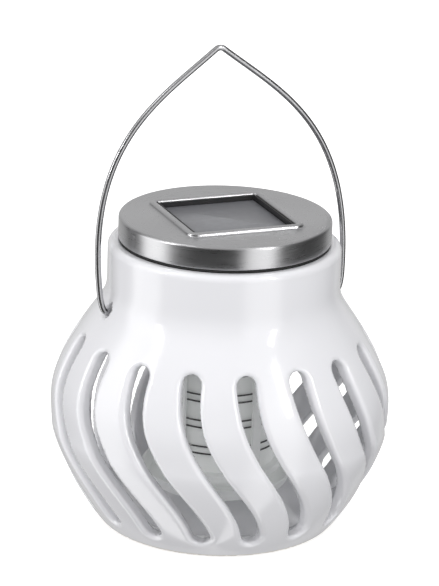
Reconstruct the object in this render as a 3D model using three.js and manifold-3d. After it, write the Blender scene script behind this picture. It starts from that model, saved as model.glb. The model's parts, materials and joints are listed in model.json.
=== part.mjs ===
// Solar lantern bug zapper: a glazed ceramic pot with swirling slots, a steel lid with a solar
// panel, a wire bail, and an electrified cage that hangs from the lid into the pot.
// Millimetres, +Z up. Origin: the centre of the pot's foot. X: the bail's hinge line. -Y: the front.
import * as THREE from "three";
import { mergeVertices } from "three/addons/utils/BufferGeometryUtils.js";
import Module from "manifold-3d";

const wasm = await Module();
wasm.setup();

// ---- Driving dimensions ----
const ROUND_POT = 52; // sides of the pot
const ROUND_LID = 44; // sides of the lid, its seal and its chassis
const ROUND_INNER = 28; // sides of the electronics housing and its contents
const ROUND_TUBE = 36; // sides of the cage
const ROUND_SMALL = 10; // sides of screws, bosses and wires' ends
const FIT = 0.3; // gap between pieces that meet

const POT_FOOT_R = 49.5;
const POT_EQUATOR_R = 70;
const POT_EQUATOR_Z = 42.2;
const POT_NECK_FOOT_R = 48.6;
const POT_NECK_FOOT_Z = 95.4;
const POT_NECK_R = 47.8;
const POT_NECK_BORE_R = 42.3;
const POT_TOP_Z = 118.8;
const POT_RIM_ROUND = 3;
const POT_WALL = 5.5;
const POT_FLOOR_Z = 6;
const POT_FOOT_RING_R = 43; // inside of the foot ring
const POT_FOOT_RECESS = 1.5;
const POT_FLOOR_R = 44.5; // where the floor meets the wall inside
const POT_BORE_CHAMFER = 0.7;

const SLOT_COUNT = 17;
const SLOT_WIDTH = 8.2; // measured level, round the pot
const SLOT_TOP_Z = 79;
const SLOT_BOTTOM_Z = 10.5;
const SLOT_END_Z = 3; // height of a slot's round end
const SLOT_AZIMUTH = 9.35; // degrees from -Y towards +X, of one slot's top without its sweep
const SLOT_SWEEP = 27.3; // degrees, of the full easing wave that the centre line follows
const SLOT_EASE_SPAN = 2.72; // radians of that wave from top to bottom
const SLOT_EASE_POWER = 1.18;

const PIVOT_Z = 92.2; // the bail's feet
const PIVOT_HOLE_R = 2.8;
const PIVOT_HOLE_RISE = 0.8; // the feet rest low in their holes
const PIVOT_HOLE_REACH = 120; // one drill goes through both sides
const BAIL_WIRE_R = 1.25;
const BAIL_TILT = 6.5; // degrees, how far the bail leans towards +Y
const BAIL_STEPS = 96; // sections along its wire

const LID_R = 43.6;
const LID_TOP_Z = 129.3;
const LID_SKIRT_Z = 119.9;
const LID_SHEET = 0.8;
const LID_EDGE_ROUND = 1.4;
const LID_INNER_ROUND = 1.2;
const WINDOW = 44; // square opening
const BEAD_WIDTH = 3.5;
const BEAD_HEIGHT = 1.5;
const BEAD_CORNER = 2;
const RECESS_Z = 125.2; // underside of the frame round the window's recess
const RECESS_TOP_Z = 130;
const RECESS_WALL = 0.8;
const RECESS_LEDGE = 0.7;
const RECESS_FLANGE_Z = 127;
const PANEL = 41.2; // square
const PANEL_Z = 126.2;
const PANEL_DEPTH = 1.8;

const SEAL_BOTTOM_Z = POT_TOP_Z + 0.1;
const CHASSIS_Z = 121; // underside of the plate under the lid
const CHASSIS_PLATE = 2;
const CHASSIS_R = 42.4;
const PLUG_R = 41.6; // the sleeve that sits in the neck
const PLUG_WALL = 1.8;
const PLUG_BOTTOM_Z = 104;
const SEAL_WIDTH = 1.4;
const PANEL_LEADS = [10, 12]; // where the panel's leads pass through the plate
const PANEL_LEADS_HOLE_R = 3.2;

const HOUSING_R = 33;
const HOUSING_WALL = 1.8;
const HOUSING_FLOOR_Z = 86;
const HOUSING_FLANGE_R = 39.3;
const HOUSING_TOP_Z = 120.7;
const FLANGE = 1.8;
const FLANGE_SCREW_R = 36.2; // circle of the housing's screws
const FLANGE_SCREW_AZIMUTHS = [60, 180, 300];
const FLANGE_SCREW = [2.3, 1.1, 3.8]; // head radius, shank radius and length
const FLANGE_HOLE_R = 1.4;
const CAGE_SCREW_SPOTS = [[21, 3], [-21, 3]];
const CAGE_SCREW = [2.2, 1, 5.2];
const SCREW_HOLE_R = 1.3;
const SCREW_HEAD = 1.5; // a head's thickness
const SCREW_SLOT = [0.6, 0.8]; // width and depth of its driver slot
const LAMP_LEADS = [0, 3]; // where the lamp's leads pass down
const LAMP_LEADS_HOLE_R = 2.8;
const LEAD_R = 0.6;

const BOARD_Z = 104.3;
const BOARD = 1.6;
const BOARD_R = 29.5;
const BOARD_POSTS = [[18, 18.5], [-18, 18.5], [0, -25]];
const BOARD_POST_R = 2.4;
const BOARD_SCREW = [2.2, 1, 7];
const TRANSFORMER = [13, 12, 10];
const TRANSFORMER_AT = [-12, 6];
const TRANSFORMER_CHEEK = 2;
const TRANSFORMER_COIL = 9;
const CAPACITOR = [9, 5]; // across, and front to back
const CAPACITOR_AT = [6, -4];
const CHIP = [5, 4, 1.6];
const CHIP_AT = [2, -16];

const BATTERY_R = 7.1;
const BATTERY_LENGTH = 49;
const BATTERY_Y = -9.5;
const BATTERY_Z = 95.6;
const BATTERY_BUTTON_R = 2.8;
const BATTERY_BUTTON = 0.9;
const BATTERY_PLATE = [0.5, 8, 9];
const SPRING_WIRE_R = 0.3;
const SPRING_R = [2.2, 3.8]; // at the battery and at its other end
const SPRING_LENGTH = 2;
const SPRING_TURNS = 2;

const SWITCH_Y = 28.6;
const SWITCH_TRAVEL = 2.5;
const SWITCH_BODY = [8, 4, 4];
const SWITCH_SLOT = [6.4, 2.6]; // the housing's opening for the knob
const KNOB_STEM = [2.4, 2, 2.6];
const KNOB_PAD = [2.4, 3, 0.9];
const KNOB_DROP = 1.3; // how far the knob stands below the housing

const CAGE_R = 26.8;
const CAGE_TOP_Z = 85.7;
const CAGE_TOP = 3.7;
const CAGE_BASE_Z = 22.3;
const CAGE_BASE = 3;
const POST_COUNT = 5;
const POST_AZIMUTH = -58;
const POST_WIDTH = 4; // round the cage
const POST_DEPTH = 1.3; // out from the axis
const TRAY_R = 32;
const TRAY_Z = 15.5;
const TRAY_DEPTH = 5.6;
const TRAY_WALL = 1.2;
const TRAY_FLOOR_R = 29; // where the dish's underside turns up
const TRAY_HUB_R = 16;
const GRIP = [30, 4, 2.4]; // the tray's finger bar: length, width and height

const HOOP_R = 24.7; // circle that the high-voltage hoops follow
const HOOP_WIRE_R = 0.35;
const HOOP_PAIRS = 4;
const HOOP_Z = 35.7; // middle of the lowest pair
const HOOP_PITCH = 11.3;
const HOOP_GAP = 3.1; // between the two hoops of a pair
const HOOP_OPENING = 8; // degrees, left out of a hoop where the other grid's riser passes
const HOOP_STEPS = 44;
const RISER_R = 0.42;

const TUBE_R = 23.9;
const TUBE_WALL = 1.4;
const TUBE_BOTTOM_Z = 25.6;
const TUBE_TOP_Z = 81.7;
const LAMP_Z = 80.3;
const LED_BOARD = 1.1;
const LED_RING_R = 12;
const LED_R = 2.5;
const LED_COUNT = 4;

// ---- Colours and finishes ----
const finish = (color, roughness, metalness) =>
  new THREE.MeshStandardMaterial({ color, roughness, metalness });
const glaze = () => finish(0xe9e9ee, 0.12, 0);
const brushedSteel = () => finish(0xb9babc, 0.3, 1);
const brightWire = () => finish(0x8d8f92, 0.22, 1);
const blackPlastic = () => finish(0x1b1b1d, 0.45, 0);
const greyPlastic = () => finish(0x8b8d8c, 0.4, 0);
const cellGlass = () => finish(0x3c434b, 0.15, 0);
const blackRubber = () => finish(0x141414, 0.8, 0);
const zincSteel = () => finish(0xa9aaac, 0.35, 1);
const greenBoard = () => finish(0x1d5a34, 0.5, 0);

// ---- Helpers ----
const radians = THREE.MathUtils.degToRad;

// A point at a radius and a height, azimuth counted in degrees from -Y towards +X.
function polar(radius, azimuth, z = 0) {
  const a = radians(azimuth);
  return new THREE.Vector3(radius * Math.sin(a), -radius * Math.cos(a), z);
}

function solid(geometry) {
  const bare = geometry.clone();
  bare.deleteAttribute("normal");
  bare.deleteAttribute("uv");
  const merged = mergeVertices(bare, 1e-4);
  return new wasm.Manifold(
    new wasm.Mesh({
      numProp: 3,
      vertProperties: merged.attributes.position.array,
      triVerts: new Uint32Array(merged.index.array),
    }),
  );
}

function surface(manifold) {
  const mesh = manifold.getMesh();
  const geometry = new THREE.BufferGeometry();
  geometry.setAttribute("position", new THREE.BufferAttribute(mesh.vertProperties, 3));
  geometry.setIndex(new THREE.BufferAttribute(mesh.triVerts, 1));
  geometry.computeVertexNormals();
  return geometry;
}

function join(geometries) {
  return surface(geometries.map(solid).reduce((all, next) => all.add(next)));
}

function cut(geometry, tools) {
  return surface(solid(geometry).subtract(tools.map(solid).reduce((all, next) => all.add(next))));
}

// A closed outline of [radius, height] points, anticlockwise, turned about Z.
function turned(outline, sides = ROUND_INNER) {
  const points = outline.map(([radius, height]) => new THREE.Vector2(radius, height));
  if (outline[0][0] > 0) points.push(points[0].clone());
  return new THREE.LatheGeometry(points, sides).rotateX(Math.PI / 2);
}

// A ring of rectangular section.
function ring(innerR, outerR, low, high, sides = ROUND_INNER) {
  return turned([[innerR, low], [outerR, low], [outerR, high], [innerR, high]], sides);
}

function disc(radius, low, high, sides = ROUND_INNER) {
  const height = high - low;
  return new THREE.CylinderGeometry(radius, radius, height, sides)
    .rotateX(Math.PI / 2)
    .translate(0, 0, low + height / 2);
}

function pin(radius, low, high, [x, y] = [0, 0], sides = ROUND_SMALL) {
  return disc(radius, low, high, sides).translate(x, y, 0);
}

function block([x, y, z], low) {
  return new THREE.BoxGeometry(x, y, z).translate(0, 0, low + z / 2);
}

// A square with rounded corners, as a shape or as a hole.
function roundedSquare(size, corner, Path = THREE.Shape) {
  const h = size / 2;
  const path = new Path();
  path.moveTo(h, -h + corner);
  path.lineTo(h, h - corner);
  path.absarc(h - corner, h - corner, corner, 0, Math.PI / 2);
  path.lineTo(-h + corner, h);
  path.absarc(-h + corner, h - corner, corner, Math.PI / 2, Math.PI);
  path.lineTo(-h, -h + corner);
  path.absarc(-h + corner, -h + corner, corner, Math.PI, Math.PI * 1.5);
  path.lineTo(h - corner, -h);
  path.absarc(h - corner, -h + corner, corner, Math.PI * 1.5, Math.PI * 2);
  path.closePath();
  return path;
}

function squareRing(outer, inner, corner, low, high) {
  const shape = roundedSquare(outer, corner);
  shape.holes.push(roundedSquare(inner, corner * 0.5, THREE.Path));
  return new THREE.ExtrudeGeometry(shape, {
    depth: high - low,
    bevelEnabled: false,
    curveSegments: 2,
  }).translate(0, 0, low);
}

// A round wire along a curve.
function wire(curve, radius, steps, sides = 8) {
  const section = new THREE.Shape();
  section.absarc(0, 0, radius, 0, Math.PI * 2);
  return new THREE.ExtrudeGeometry(section, {
    extrudePath: curve,
    steps,
    curveSegments: sides / 2,
    bevelEnabled: false,
  });
}

function lead(points) {
  const route = points.map((p) => new THREE.Vector3(...p));
  return wire(new THREE.CatmullRomCurve3(route, false, "centripetal"), LEAD_R, 10, 6);
}

function piece(name, geometry, material, parent) {
  const mesh = new THREE.Mesh(geometry, material);
  mesh.name = name;
  parent.add(mesh);
  return mesh;
}

// ---- Ceramic pot ----
// The belly's outline in two curves, foot to equator and equator to neck.
const bellyLow = new THREE.CubicBezierCurve(
  new THREE.Vector2(POT_FOOT_R, 0),
  new THREE.Vector2(POT_FOOT_R + 8.9, 10.6),
  new THREE.Vector2(POT_EQUATOR_R, POT_EQUATOR_Z - 8.4),
  new THREE.Vector2(POT_EQUATOR_R, POT_EQUATOR_Z),
);
const bellyHigh = new THREE.CubicBezierCurve(
  new THREE.Vector2(POT_EQUATOR_R, POT_EQUATOR_Z),
  new THREE.Vector2(POT_EQUATOR_R, POT_EQUATOR_Z + 14.2),
  new THREE.Vector2(POT_EQUATOR_R + 3.3, POT_EQUATOR_Z + 19.3),
  new THREE.Vector2(POT_NECK_FOOT_R, POT_NECK_FOOT_Z),
);

// Points of a belly curve, moved in along its normal by a depth.
function bellyPoints(curve, steps, depth) {
  return Array.from({ length: steps + 1 }, (_, i) => {
    const p = curve.getPoint(i / steps);
    const t = curve.getTangent(i / steps);
    return [p.x - t.y * depth, p.y + t.x * depth];
  });
}

function potOutline() {
  const outside = [
    [POT_FOOT_RING_R, 0],
    ...bellyPoints(bellyLow, 3, 0),
    ...bellyPoints(bellyHigh, 5, 0).slice(1),
    [POT_NECK_R + 0.4, POT_NECK_FOOT_Z + 3],
    [POT_NECK_R, POT_NECK_FOOT_Z + 10],
  ];
  const rimCentre = [POT_NECK_R - POT_RIM_ROUND, POT_TOP_Z - POT_RIM_ROUND];
  for (const degrees of [0, 30, 60, 90]) {
    const a = radians(degrees);
    outside.push([
      rimCentre[0] + POT_RIM_ROUND * Math.cos(a),
      rimCentre[1] + POT_RIM_ROUND * Math.sin(a),
    ]);
  }
  const inside = [
    ...bellyPoints(bellyLow, 3, POT_WALL).filter(([, z]) => z > POT_FLOOR_Z + 1),
    ...bellyPoints(bellyHigh, 4, POT_WALL).slice(1),
    [POT_NECK_BORE_R, POT_NECK_FOOT_Z + 1.5],
    [POT_NECK_BORE_R, POT_TOP_Z - POT_BORE_CHAMFER],
    [POT_NECK_BORE_R + POT_BORE_CHAMFER, POT_TOP_Z],
  ].reverse();
  return [
    ...outside,
    ...inside,
    [POT_FLOOR_R, POT_FLOOR_Z],
    [0, POT_FLOOR_Z],
    [0, POT_FOOT_RECESS],
    [POT_FOOT_RING_R - 1, POT_FOOT_RECESS],
  ];
}

// The belly's radius at a height.
const bellySamples = [...bellyLow.getPoints(20), ...bellyHigh.getPoints(20)];
function bellyRadius(z) {
  const i = bellySamples.findIndex((p) => p.y > z);
  const [below, above] = bellySamples.slice(i - 1, i + 1);
  return THREE.MathUtils.mapLinear(z, below.y, above.y, below.x, above.x);
}

// Degrees that a slot's centre line has swept round from its top end, at a height.
function sweepAt(z) {
  const t = THREE.MathUtils.clamp((SLOT_TOP_Z - z) / (SLOT_TOP_Z - SLOT_BOTTOM_Z), 0, 1);
  return (SLOT_SWEEP * (1 - Math.cos(SLOT_EASE_SPAN * t ** SLOT_EASE_POWER))) / 2;
}

// One slot's outline: x is the distance round the pot at the equator's radius, y is the height.
function slotShape() {
  const steps = 7;
  const left = [];
  const right = [];
  for (let i = 0; i <= steps; i += 1) {
    const z = THREE.MathUtils.lerp(SLOT_TOP_Z, SLOT_BOTTOM_Z, i / steps);
    const x = radians(sweepAt(z)) * POT_EQUATOR_R;
    const half = ((SLOT_WIDTH / 2) * POT_EQUATOR_R) / bellyRadius(z);
    left.push([x - half, z]);
    right.push([x + half, z]);
  }
  const roundEnd = (a, b, rise) =>
    [40, 90, 140].map((degrees) => {
      const middle = (a[0] + b[0]) / 2;
      const half = (b[0] - a[0]) / 2;
      return [
        middle - half * Math.cos(radians(degrees)),
        a[1] + rise * Math.sin(radians(degrees)),
      ];
    });
  const outline = [
    ...left,
    ...roundEnd(left[steps], right[steps], -SLOT_END_Z),
    ...right.toReversed(),
    ...roundEnd(left[0], right[0], SLOT_END_Z).reverse(),
  ];
  return new THREE.Shape(outline.map(([x, y]) => new THREE.Vector2(x, y)));
}

// The slot's cutter: the outline bent round the Z axis, from inside the wall to outside it.
function slotCutter(azimuth) {
  const innerR = 40;
  const reach = 36;
  const geometry = new THREE.ExtrudeGeometry(slotShape(), { depth: reach, bevelEnabled: false });
  const position = geometry.attributes.position;
  for (let i = 0; i < position.count; i += 1) {
    const turn = THREE.MathUtils.radToDeg(position.getX(i) / POT_EQUATOR_R);
    const radius = innerR + position.getZ(i);
    const p = polar(radius, azimuth + turn, position.getY(i));
    position.setXYZ(i, p.x, p.y, p.z);
  }
  return geometry;
}

function ceramicBody() {
  const cutters = Array.from({ length: SLOT_COUNT }, (_, i) =>
    slotCutter(SLOT_AZIMUTH + (360 / SLOT_COUNT) * i),
  );
  const bailHole = new THREE.CylinderGeometry(PIVOT_HOLE_R, PIVOT_HOLE_R, PIVOT_HOLE_REACH, 16)
    .rotateZ(Math.PI / 2)
    .translate(0, 0, PIVOT_Z + PIVOT_HOLE_RISE);
  return cut(turned(potOutline(), ROUND_POT), [...cutters, bailHole]);
}

// ---- Wire bail, drawn upright in the XZ plane with its hinge line at the origin ----
function bailCurve() {
  const foot = [[40.2, 0], [49.8, 0]];
  const bend = [[49.8, 0], [52, 0], [52.5, 2.4], [53.2, 6.6]];
  const arm = [[53.2, 6.6], [58.8, 69.6], [27.3, 84.8], [1.8, 104.4]];
  const tip = [[1.8, 104.4], [1.3, 104.8], [0.7, 105], [0, 105]];
  const at = (side, [x, z]) => new THREE.Vector3(side * x, 0, z);
  const route = new THREE.CurvePath();
  const half = (side) => [
    new THREE.LineCurve3(...foot.map((p) => at(side, p))),
    ...[bend, arm, tip].map((c) => new THREE.CubicBezierCurve3(...c.map((p) => at(side, p)))),
  ];
  const backwards = (curve) =>
    curve.isLineCurve3
      ? new THREE.LineCurve3(curve.v2, curve.v1)
      : new THREE.CubicBezierCurve3(curve.v3, curve.v2, curve.v1, curve.v0);
  half(-1).forEach((curve) => route.add(curve));
  half(1).reverse().forEach((curve) => route.add(backwards(curve)));
  return route;
}

function bail() {
  const group = new THREE.Group();
  piece("bail_wire", wire(bailCurve(), BAIL_WIRE_R, BAIL_STEPS), brightWire(), group);
  group.position.z = PIVOT_Z;
  group.rotation.x = -radians(BAIL_TILT);
  return group;
}

// ---- Lid ----
function lidShell() {
  const underside = LID_TOP_Z - LID_SHEET;
  const inside = LID_R - LID_SHEET;
  const outline = [
    [0, underside],
    [inside - LID_INNER_ROUND, underside],
    [inside, underside - LID_INNER_ROUND],
    [inside, LID_SKIRT_Z],
    [LID_R, LID_SKIRT_Z],
  ];
  for (const degrees of [0, 45, 90]) {
    const a = radians(degrees);
    outline.push([
      LID_R - LID_EDGE_ROUND * (1 - Math.cos(a)),
      LID_TOP_Z - LID_EDGE_ROUND * (1 - Math.sin(a)),
    ]);
  }
  outline.push([0, LID_TOP_Z]);
  const opening = block([WINDOW, WINDOW, 10], LID_TOP_Z - 5);
  return cut(join([turned(outline, ROUND_LID), windowBead()]), [opening]);
}

// The rolled edge round the lid's window.
function windowBead() {
  const soft = BEAD_HEIGHT / 2;
  const bead = roundedSquare(WINDOW + 2 * BEAD_WIDTH - 2 * soft, BEAD_CORNER);
  bead.holes.push(roundedSquare(WINDOW + 2 * soft, BEAD_CORNER, THREE.Path));
  return new THREE.ExtrudeGeometry(bead, {
    depth: BEAD_HEIGHT - soft,
    bevelThickness: soft,
    bevelSize: soft,
    bevelSegments: 2,
    curveSegments: 2,
  }).translate(0, 0, LID_TOP_Z);
}

function windowFrame() {
  const outer = WINDOW - 2 * FIT;
  const inner = outer - 2 * RECESS_WALL;
  const wall = squareRing(outer, inner, 0.8, RECESS_Z, RECESS_TOP_Z);
  const flange = squareRing(WINDOW + 5, inner, 1, RECESS_FLANGE_Z, LID_TOP_Z - LID_SHEET - FIT);
  const ledge = squareRing(outer - 0.4, inner - 3.8, 0.8, RECESS_Z, RECESS_Z + RECESS_LEDGE);
  return join([wall, flange, ledge]);
}

function lidChassis() {
  const plate = disc(CHASSIS_R, CHASSIS_Z, CHASSIS_Z + CHASSIS_PLATE, ROUND_LID);
  const sleeve = ring(PLUG_R - PLUG_WALL, PLUG_R, PLUG_BOTTOM_Z, CHASSIS_Z + 0.5, ROUND_LID);
  const low = CHASSIS_Z - 3;
  const high = CHASSIS_Z + CHASSIS_PLATE + 2;
  const screwHoles = flangeScrewSpots().map((spot) => pin(FLANGE_HOLE_R, low, high, spot));
  const leadHole = pin(PANEL_LEADS_HOLE_R, low, high, PANEL_LEADS);
  return cut(join([plate, sleeve]), [...screwHoles, leadHole]);
}

function lid() {
  const group = new THREE.Group();
  piece("lid_shell", lidShell(), brushedSteel(), group);
  piece("window_frame", windowFrame(), blackPlastic(), group);
  piece("solar_panel", block([PANEL, PANEL, PANEL_DEPTH], PANEL_Z), cellGlass(), group);
  piece("lid_chassis", lidChassis(), blackPlastic(), group);
  const sealR = PLUG_R + FIT;
  const seal = ring(sealR, sealR + SEAL_WIDTH, SEAL_BOTTOM_Z, LID_SKIRT_Z - 0.2, ROUND_LID);
  piece("neck_seal", seal, blackRubber(), group);
  return group;
}

// ---- Electronics housing under the lid ----
function flangeScrewSpots() {
  return FLANGE_SCREW_AZIMUTHS.map((azimuth) => {
    const p = polar(FLANGE_SCREW_R, azimuth);
    return [p.x, p.y];
  });
}

function electronicsHousing() {
  const inner = HOUSING_R - HOUSING_WALL;
  const floor = HOUSING_FLOOR_Z + HOUSING_WALL;
  const tub = turned([
    [0, HOUSING_FLOOR_Z],
    [HOUSING_R, HOUSING_FLOOR_Z],
    [HOUSING_R, HOUSING_TOP_Z - FLANGE],
    [HOUSING_FLANGE_R, HOUSING_TOP_Z - FLANGE],
    [HOUSING_FLANGE_R, HOUSING_TOP_Z],
    [inner, HOUSING_TOP_Z],
    [inner, floor],
    [0, floor],
  ], ROUND_INNER);
  const posts = BOARD_POSTS.map((spot) => pin(BOARD_POST_R, floor - 0.5, BOARD_Z - FIT, spot));
  const pilots = BOARD_POSTS.map((spot) => pin(SCREW_HOLE_R, BOARD_Z - 9, BOARD_Z + 1, spot));
  const flangeHoles = flangeScrewSpots().map((spot) =>
    pin(FLANGE_HOLE_R, HOUSING_TOP_Z - FLANGE - 2, HOUSING_TOP_Z + 1, spot),
  );
  const low = HOUSING_FLOOR_Z - 2;
  const cageHoles = CAGE_SCREW_SPOTS.map((spot) => pin(SCREW_HOLE_R, low, floor + 1, spot));
  const leadHole = pin(LAMP_LEADS_HOLE_R, low, floor + 1, LAMP_LEADS);
  const switchSlot = block([...SWITCH_SLOT, 4], HOUSING_FLOOR_Z - 1).translate(0, SWITCH_Y, 0);
  const holes = [...pilots, ...flangeHoles, ...cageHoles, leadHole, switchSlot];
  return cut(join([tub, ...posts]), holes);
}

// A pan-head screw pointing up (+1) or down (-1), its head's seat at a height.
function screw(seat, direction, headR, shankR, length) {
  const body = join([
    pin(headR, -SCREW_HEAD, 0, [0, 0], 12),
    pin(shankR, -SCREW_HEAD / 3, length, [0, 0], 8),
  ]);
  const slot = new THREE.BoxGeometry(headR * 1.4, ...SCREW_SLOT).translate(0, 0, -SCREW_HEAD);
  const shaped = cut(body, [slot]);
  if (direction < 0) shaped.rotateX(Math.PI);
  return shaped.translate(0, 0, seat);
}

function placedScrews(prefix, spots, seat, direction, size, parent) {
  spots.forEach(([x, y], i) => {
    const mesh = piece(`${prefix}_${i + 1}`, screw(seat, direction, ...size), zincSteel(), parent);
    mesh.position.set(x, y, 0);
  });
}

function circuitBoard() {
  const holes = BOARD_POSTS.map((spot) => pin(SCREW_HOLE_R, BOARD_Z - 2, BOARD_Z + 4, spot));
  return cut(disc(BOARD_R, BOARD_Z, BOARD_Z + BOARD), holes);
}

function battery() {
  const half = BATTERY_LENGTH / 2;
  const cell = turned([
    [0, -half],
    [BATTERY_R, -half],
    [BATTERY_R, half - 0.8],
    [BATTERY_R - 1, half],
    [BATTERY_BUTTON_R, half],
    [BATTERY_BUTTON_R, half + BATTERY_BUTTON],
    [0, half + BATTERY_BUTTON],
  ], 20);
  return cell.rotateY(-Math.PI / 2);
}

function batterySpring() {
  const count = SPRING_TURNS * 8;
  const points = Array.from({ length: count + 1 }, (_, i) => {
    const share = i / count;
    const turn = share * SPRING_TURNS * Math.PI * 2;
    const radius = THREE.MathUtils.lerp(...SPRING_R, share);
    const x = share * SPRING_LENGTH;
    return new THREE.Vector3(x, radius * Math.cos(turn), radius * Math.sin(turn));
  });
  return wire(new THREE.CatmullRomCurve3(points), SPRING_WIRE_R, SPRING_TURNS * 10, 4);
}

function electronics() {
  const group = new THREE.Group();
  piece("electronics_housing", electronicsHousing(), blackPlastic(), group);
  const flangeSeat = HOUSING_TOP_Z - FLANGE - 0.1;
  placedScrews("housing_screw", flangeScrewSpots(), flangeSeat, 1, FLANGE_SCREW, group);
  piece("circuit_board", circuitBoard(), greenBoard(), group);
  const boardTop = BOARD_Z + BOARD;
  placedScrews("board_screw", BOARD_POSTS, boardTop + 0.1, -1, BOARD_SCREW, group);
  boardParts(boardTop + FIT, group);
  batteryParts(group);
  slideSwitch(group);
  leads(group);
  return group;
}

function boardParts(seat, parent) {
  const [across, deep, tall] = TRANSFORMER;
  const cheek = [across, deep, TRANSFORMER_CHEEK];
  const transformer = join([
    block(cheek, seat),
    block([TRANSFORMER_COIL, TRANSFORMER_COIL, tall - TRANSFORMER_CHEEK], seat + TRANSFORMER_CHEEK / 2),
    block(cheek, seat + tall - TRANSFORMER_CHEEK),
  ]);
  piece("transformer", transformer, finish(0xd9c36a, 0.5, 0), parent)
    .position.set(...TRANSFORMER_AT, 0);
  const [size, depth] = CAPACITOR;
  const capacitor = new THREE.ExtrudeGeometry(roundedSquare(size, 1.5), {
    depth,
    bevelEnabled: false,
    curveSegments: 3,
  }).rotateX(Math.PI / 2);
  piece("grid_capacitor", capacitor, finish(0x9c2f22, 0.4, 0), parent)
    .position.set(...CAPACITOR_AT, seat + size / 2);
  piece("driver_chip", block(CHIP, seat), blackPlastic(), parent).position.set(...CHIP_AT, 0);
}

// The battery lies along X between a spring and a plate.
function batteryParts(parent) {
  piece("battery", battery(), finish(0x2f6d8f, 0.35, 0), parent)
    .position.set(0, BATTERY_Y, BATTERY_Z);
  piece("battery_spring", batterySpring(), brightWire(), parent)
    .position.set(BATTERY_LENGTH / 2 + 0.7, BATTERY_Y, BATTERY_Z);
  piece("battery_plate", block(BATTERY_PLATE, -BATTERY_PLATE[2] / 2), zincSteel(), parent)
    .position.set(-BATTERY_LENGTH / 2 - 1.6, BATTERY_Y, BATTERY_Z);
}

function slideSwitch(parent) {
  const seat = HOUSING_FLOOR_Z + HOUSING_WALL + FIT;
  piece("switch_body", block(SWITCH_BODY, seat), blackPlastic(), parent).position.y = SWITCH_Y;
  const low = HOUSING_FLOOR_Z - KNOB_DROP;
  const knob = join([block(KNOB_STEM, low + 0.4), block(KNOB_PAD, low)]);
  piece("switch_knob", knob, finish(0xdedede, 0.5, 0), parent)
    .position.set(-SWITCH_TRAVEL / 2, SWITCH_Y, 0);
}

function leads(parent) {
  const boardTop = BOARD_Z + BOARD + FIT;
  const red = finish(0xb3201c, 0.5, 0);
  const panelRoute = (x) => [[x, 12, 125.6], [x, 12, 120], [x + 1.5, 13.5, 113], [x + 2, 14, boardTop]];
  piece("solar_lead_positive", lead(panelRoute(8.9)), red, parent);
  piece("solar_lead_negative", lead(panelRoute(11.1)), blackPlastic(), parent);
  const lampRoute = (x) => [[x, 4, BOARD_Z - FIT], [x, 3.4, 96], [x, 3, 88], [x, 3, 82.2]];
  piece("lamp_lead_positive", lead(lampRoute(-1.1)), red, parent);
  piece("lamp_lead_negative", lead(lampRoute(1.1)), blackPlastic(), parent);
}

// ---- Zapper cage ----
function uvLed() {
  return turned([
    [0, -6],
    [1.4, -5.6],
    [2.2, -4.6],
    [LED_R, -3.4],
    [LED_R, -0.9],
    [LED_R + 0.4, -0.9],
    [LED_R + 0.4, 0],
    [0, 0],
  ], 12);
}

function lamp(parent) {
  const inner = TUBE_R - TUBE_WALL;
  const tube = turned([
    [0, TUBE_BOTTOM_Z],
    [TUBE_R - 1, TUBE_BOTTOM_Z],
    [TUBE_R, TUBE_BOTTOM_Z + 1],
    [TUBE_R, TUBE_TOP_Z],
    [inner, TUBE_TOP_Z],
    [inner, TUBE_BOTTOM_Z + TUBE_WALL],
    [0, TUBE_BOTTOM_Z + TUBE_WALL],
  ], ROUND_TUBE);
  piece("light_tube", tube, finish(0x9a9c9b, 0.35, 0), parent);
  const board = disc(inner - FIT, LAMP_Z, LAMP_Z + LED_BOARD, ROUND_TUBE);
  piece("led_board", board, greenBoard(), parent);
  for (let i = 0; i < LED_COUNT; i += 1) {
    const led = piece(`uv_led_${i + 1}`, uvLed(), finish(0xb9b2e6, 0.1, 0), parent);
    led.position.copy(polar(LED_RING_R, (360 / LED_COUNT) * (i + 0.5), LAMP_Z - FIT));
  }
}

// The arc of a hoop, level, from one azimuth to another.
class HoopArc extends THREE.Curve {
  constructor(z, from, to) {
    super();
    Object.assign(this, { z, from, to });
  }

  getPoint(t) {
    return polar(HOOP_R, THREE.MathUtils.lerp(this.from, this.to, t), this.z);
  }
}

// One electrode: an open hoop in each pair, all joined by an upright riser. Each hoop's opening
// leaves room for the other electrode's riser.
function gridElectrode(offset, riserAzimuth, openingAzimuth) {
  const hoops = Array.from({ length: HOOP_PAIRS }, (_, i) => {
    const z = HOOP_Z + HOOP_PITCH * i + offset;
    const start = openingAzimuth + HOOP_OPENING / 2;
    const arc = new HoopArc(z, start, start + 360 - HOOP_OPENING);
    return wire(arc, HOOP_WIRE_R, HOOP_STEPS, 6);
  });
  const foot = polar(HOOP_R, riserAzimuth);
  const top = CAGE_TOP_Z - CAGE_TOP - FIT;
  const riser = pin(RISER_R, HOOP_Z - HOOP_GAP, top, [foot.x, foot.y], 8);
  return join([riser, ...hoops]);
}

// Each riser stands behind a post, the two as far apart as five posts allow.
function grids(parent) {
  const half = HOOP_GAP / 2;
  const upperRiser = POST_AZIMUTH;
  const lowerRiser = POST_AZIMUTH + (360 / POST_COUNT) * 2;
  const upper = gridElectrode(half, upperRiser, lowerRiser);
  piece("grid_upper", upper, zincSteel(), parent);
  const lower = gridElectrode(-half, lowerRiser, upperRiser);
  piece("grid_lower", lower, zincSteel(), parent);
}

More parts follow.
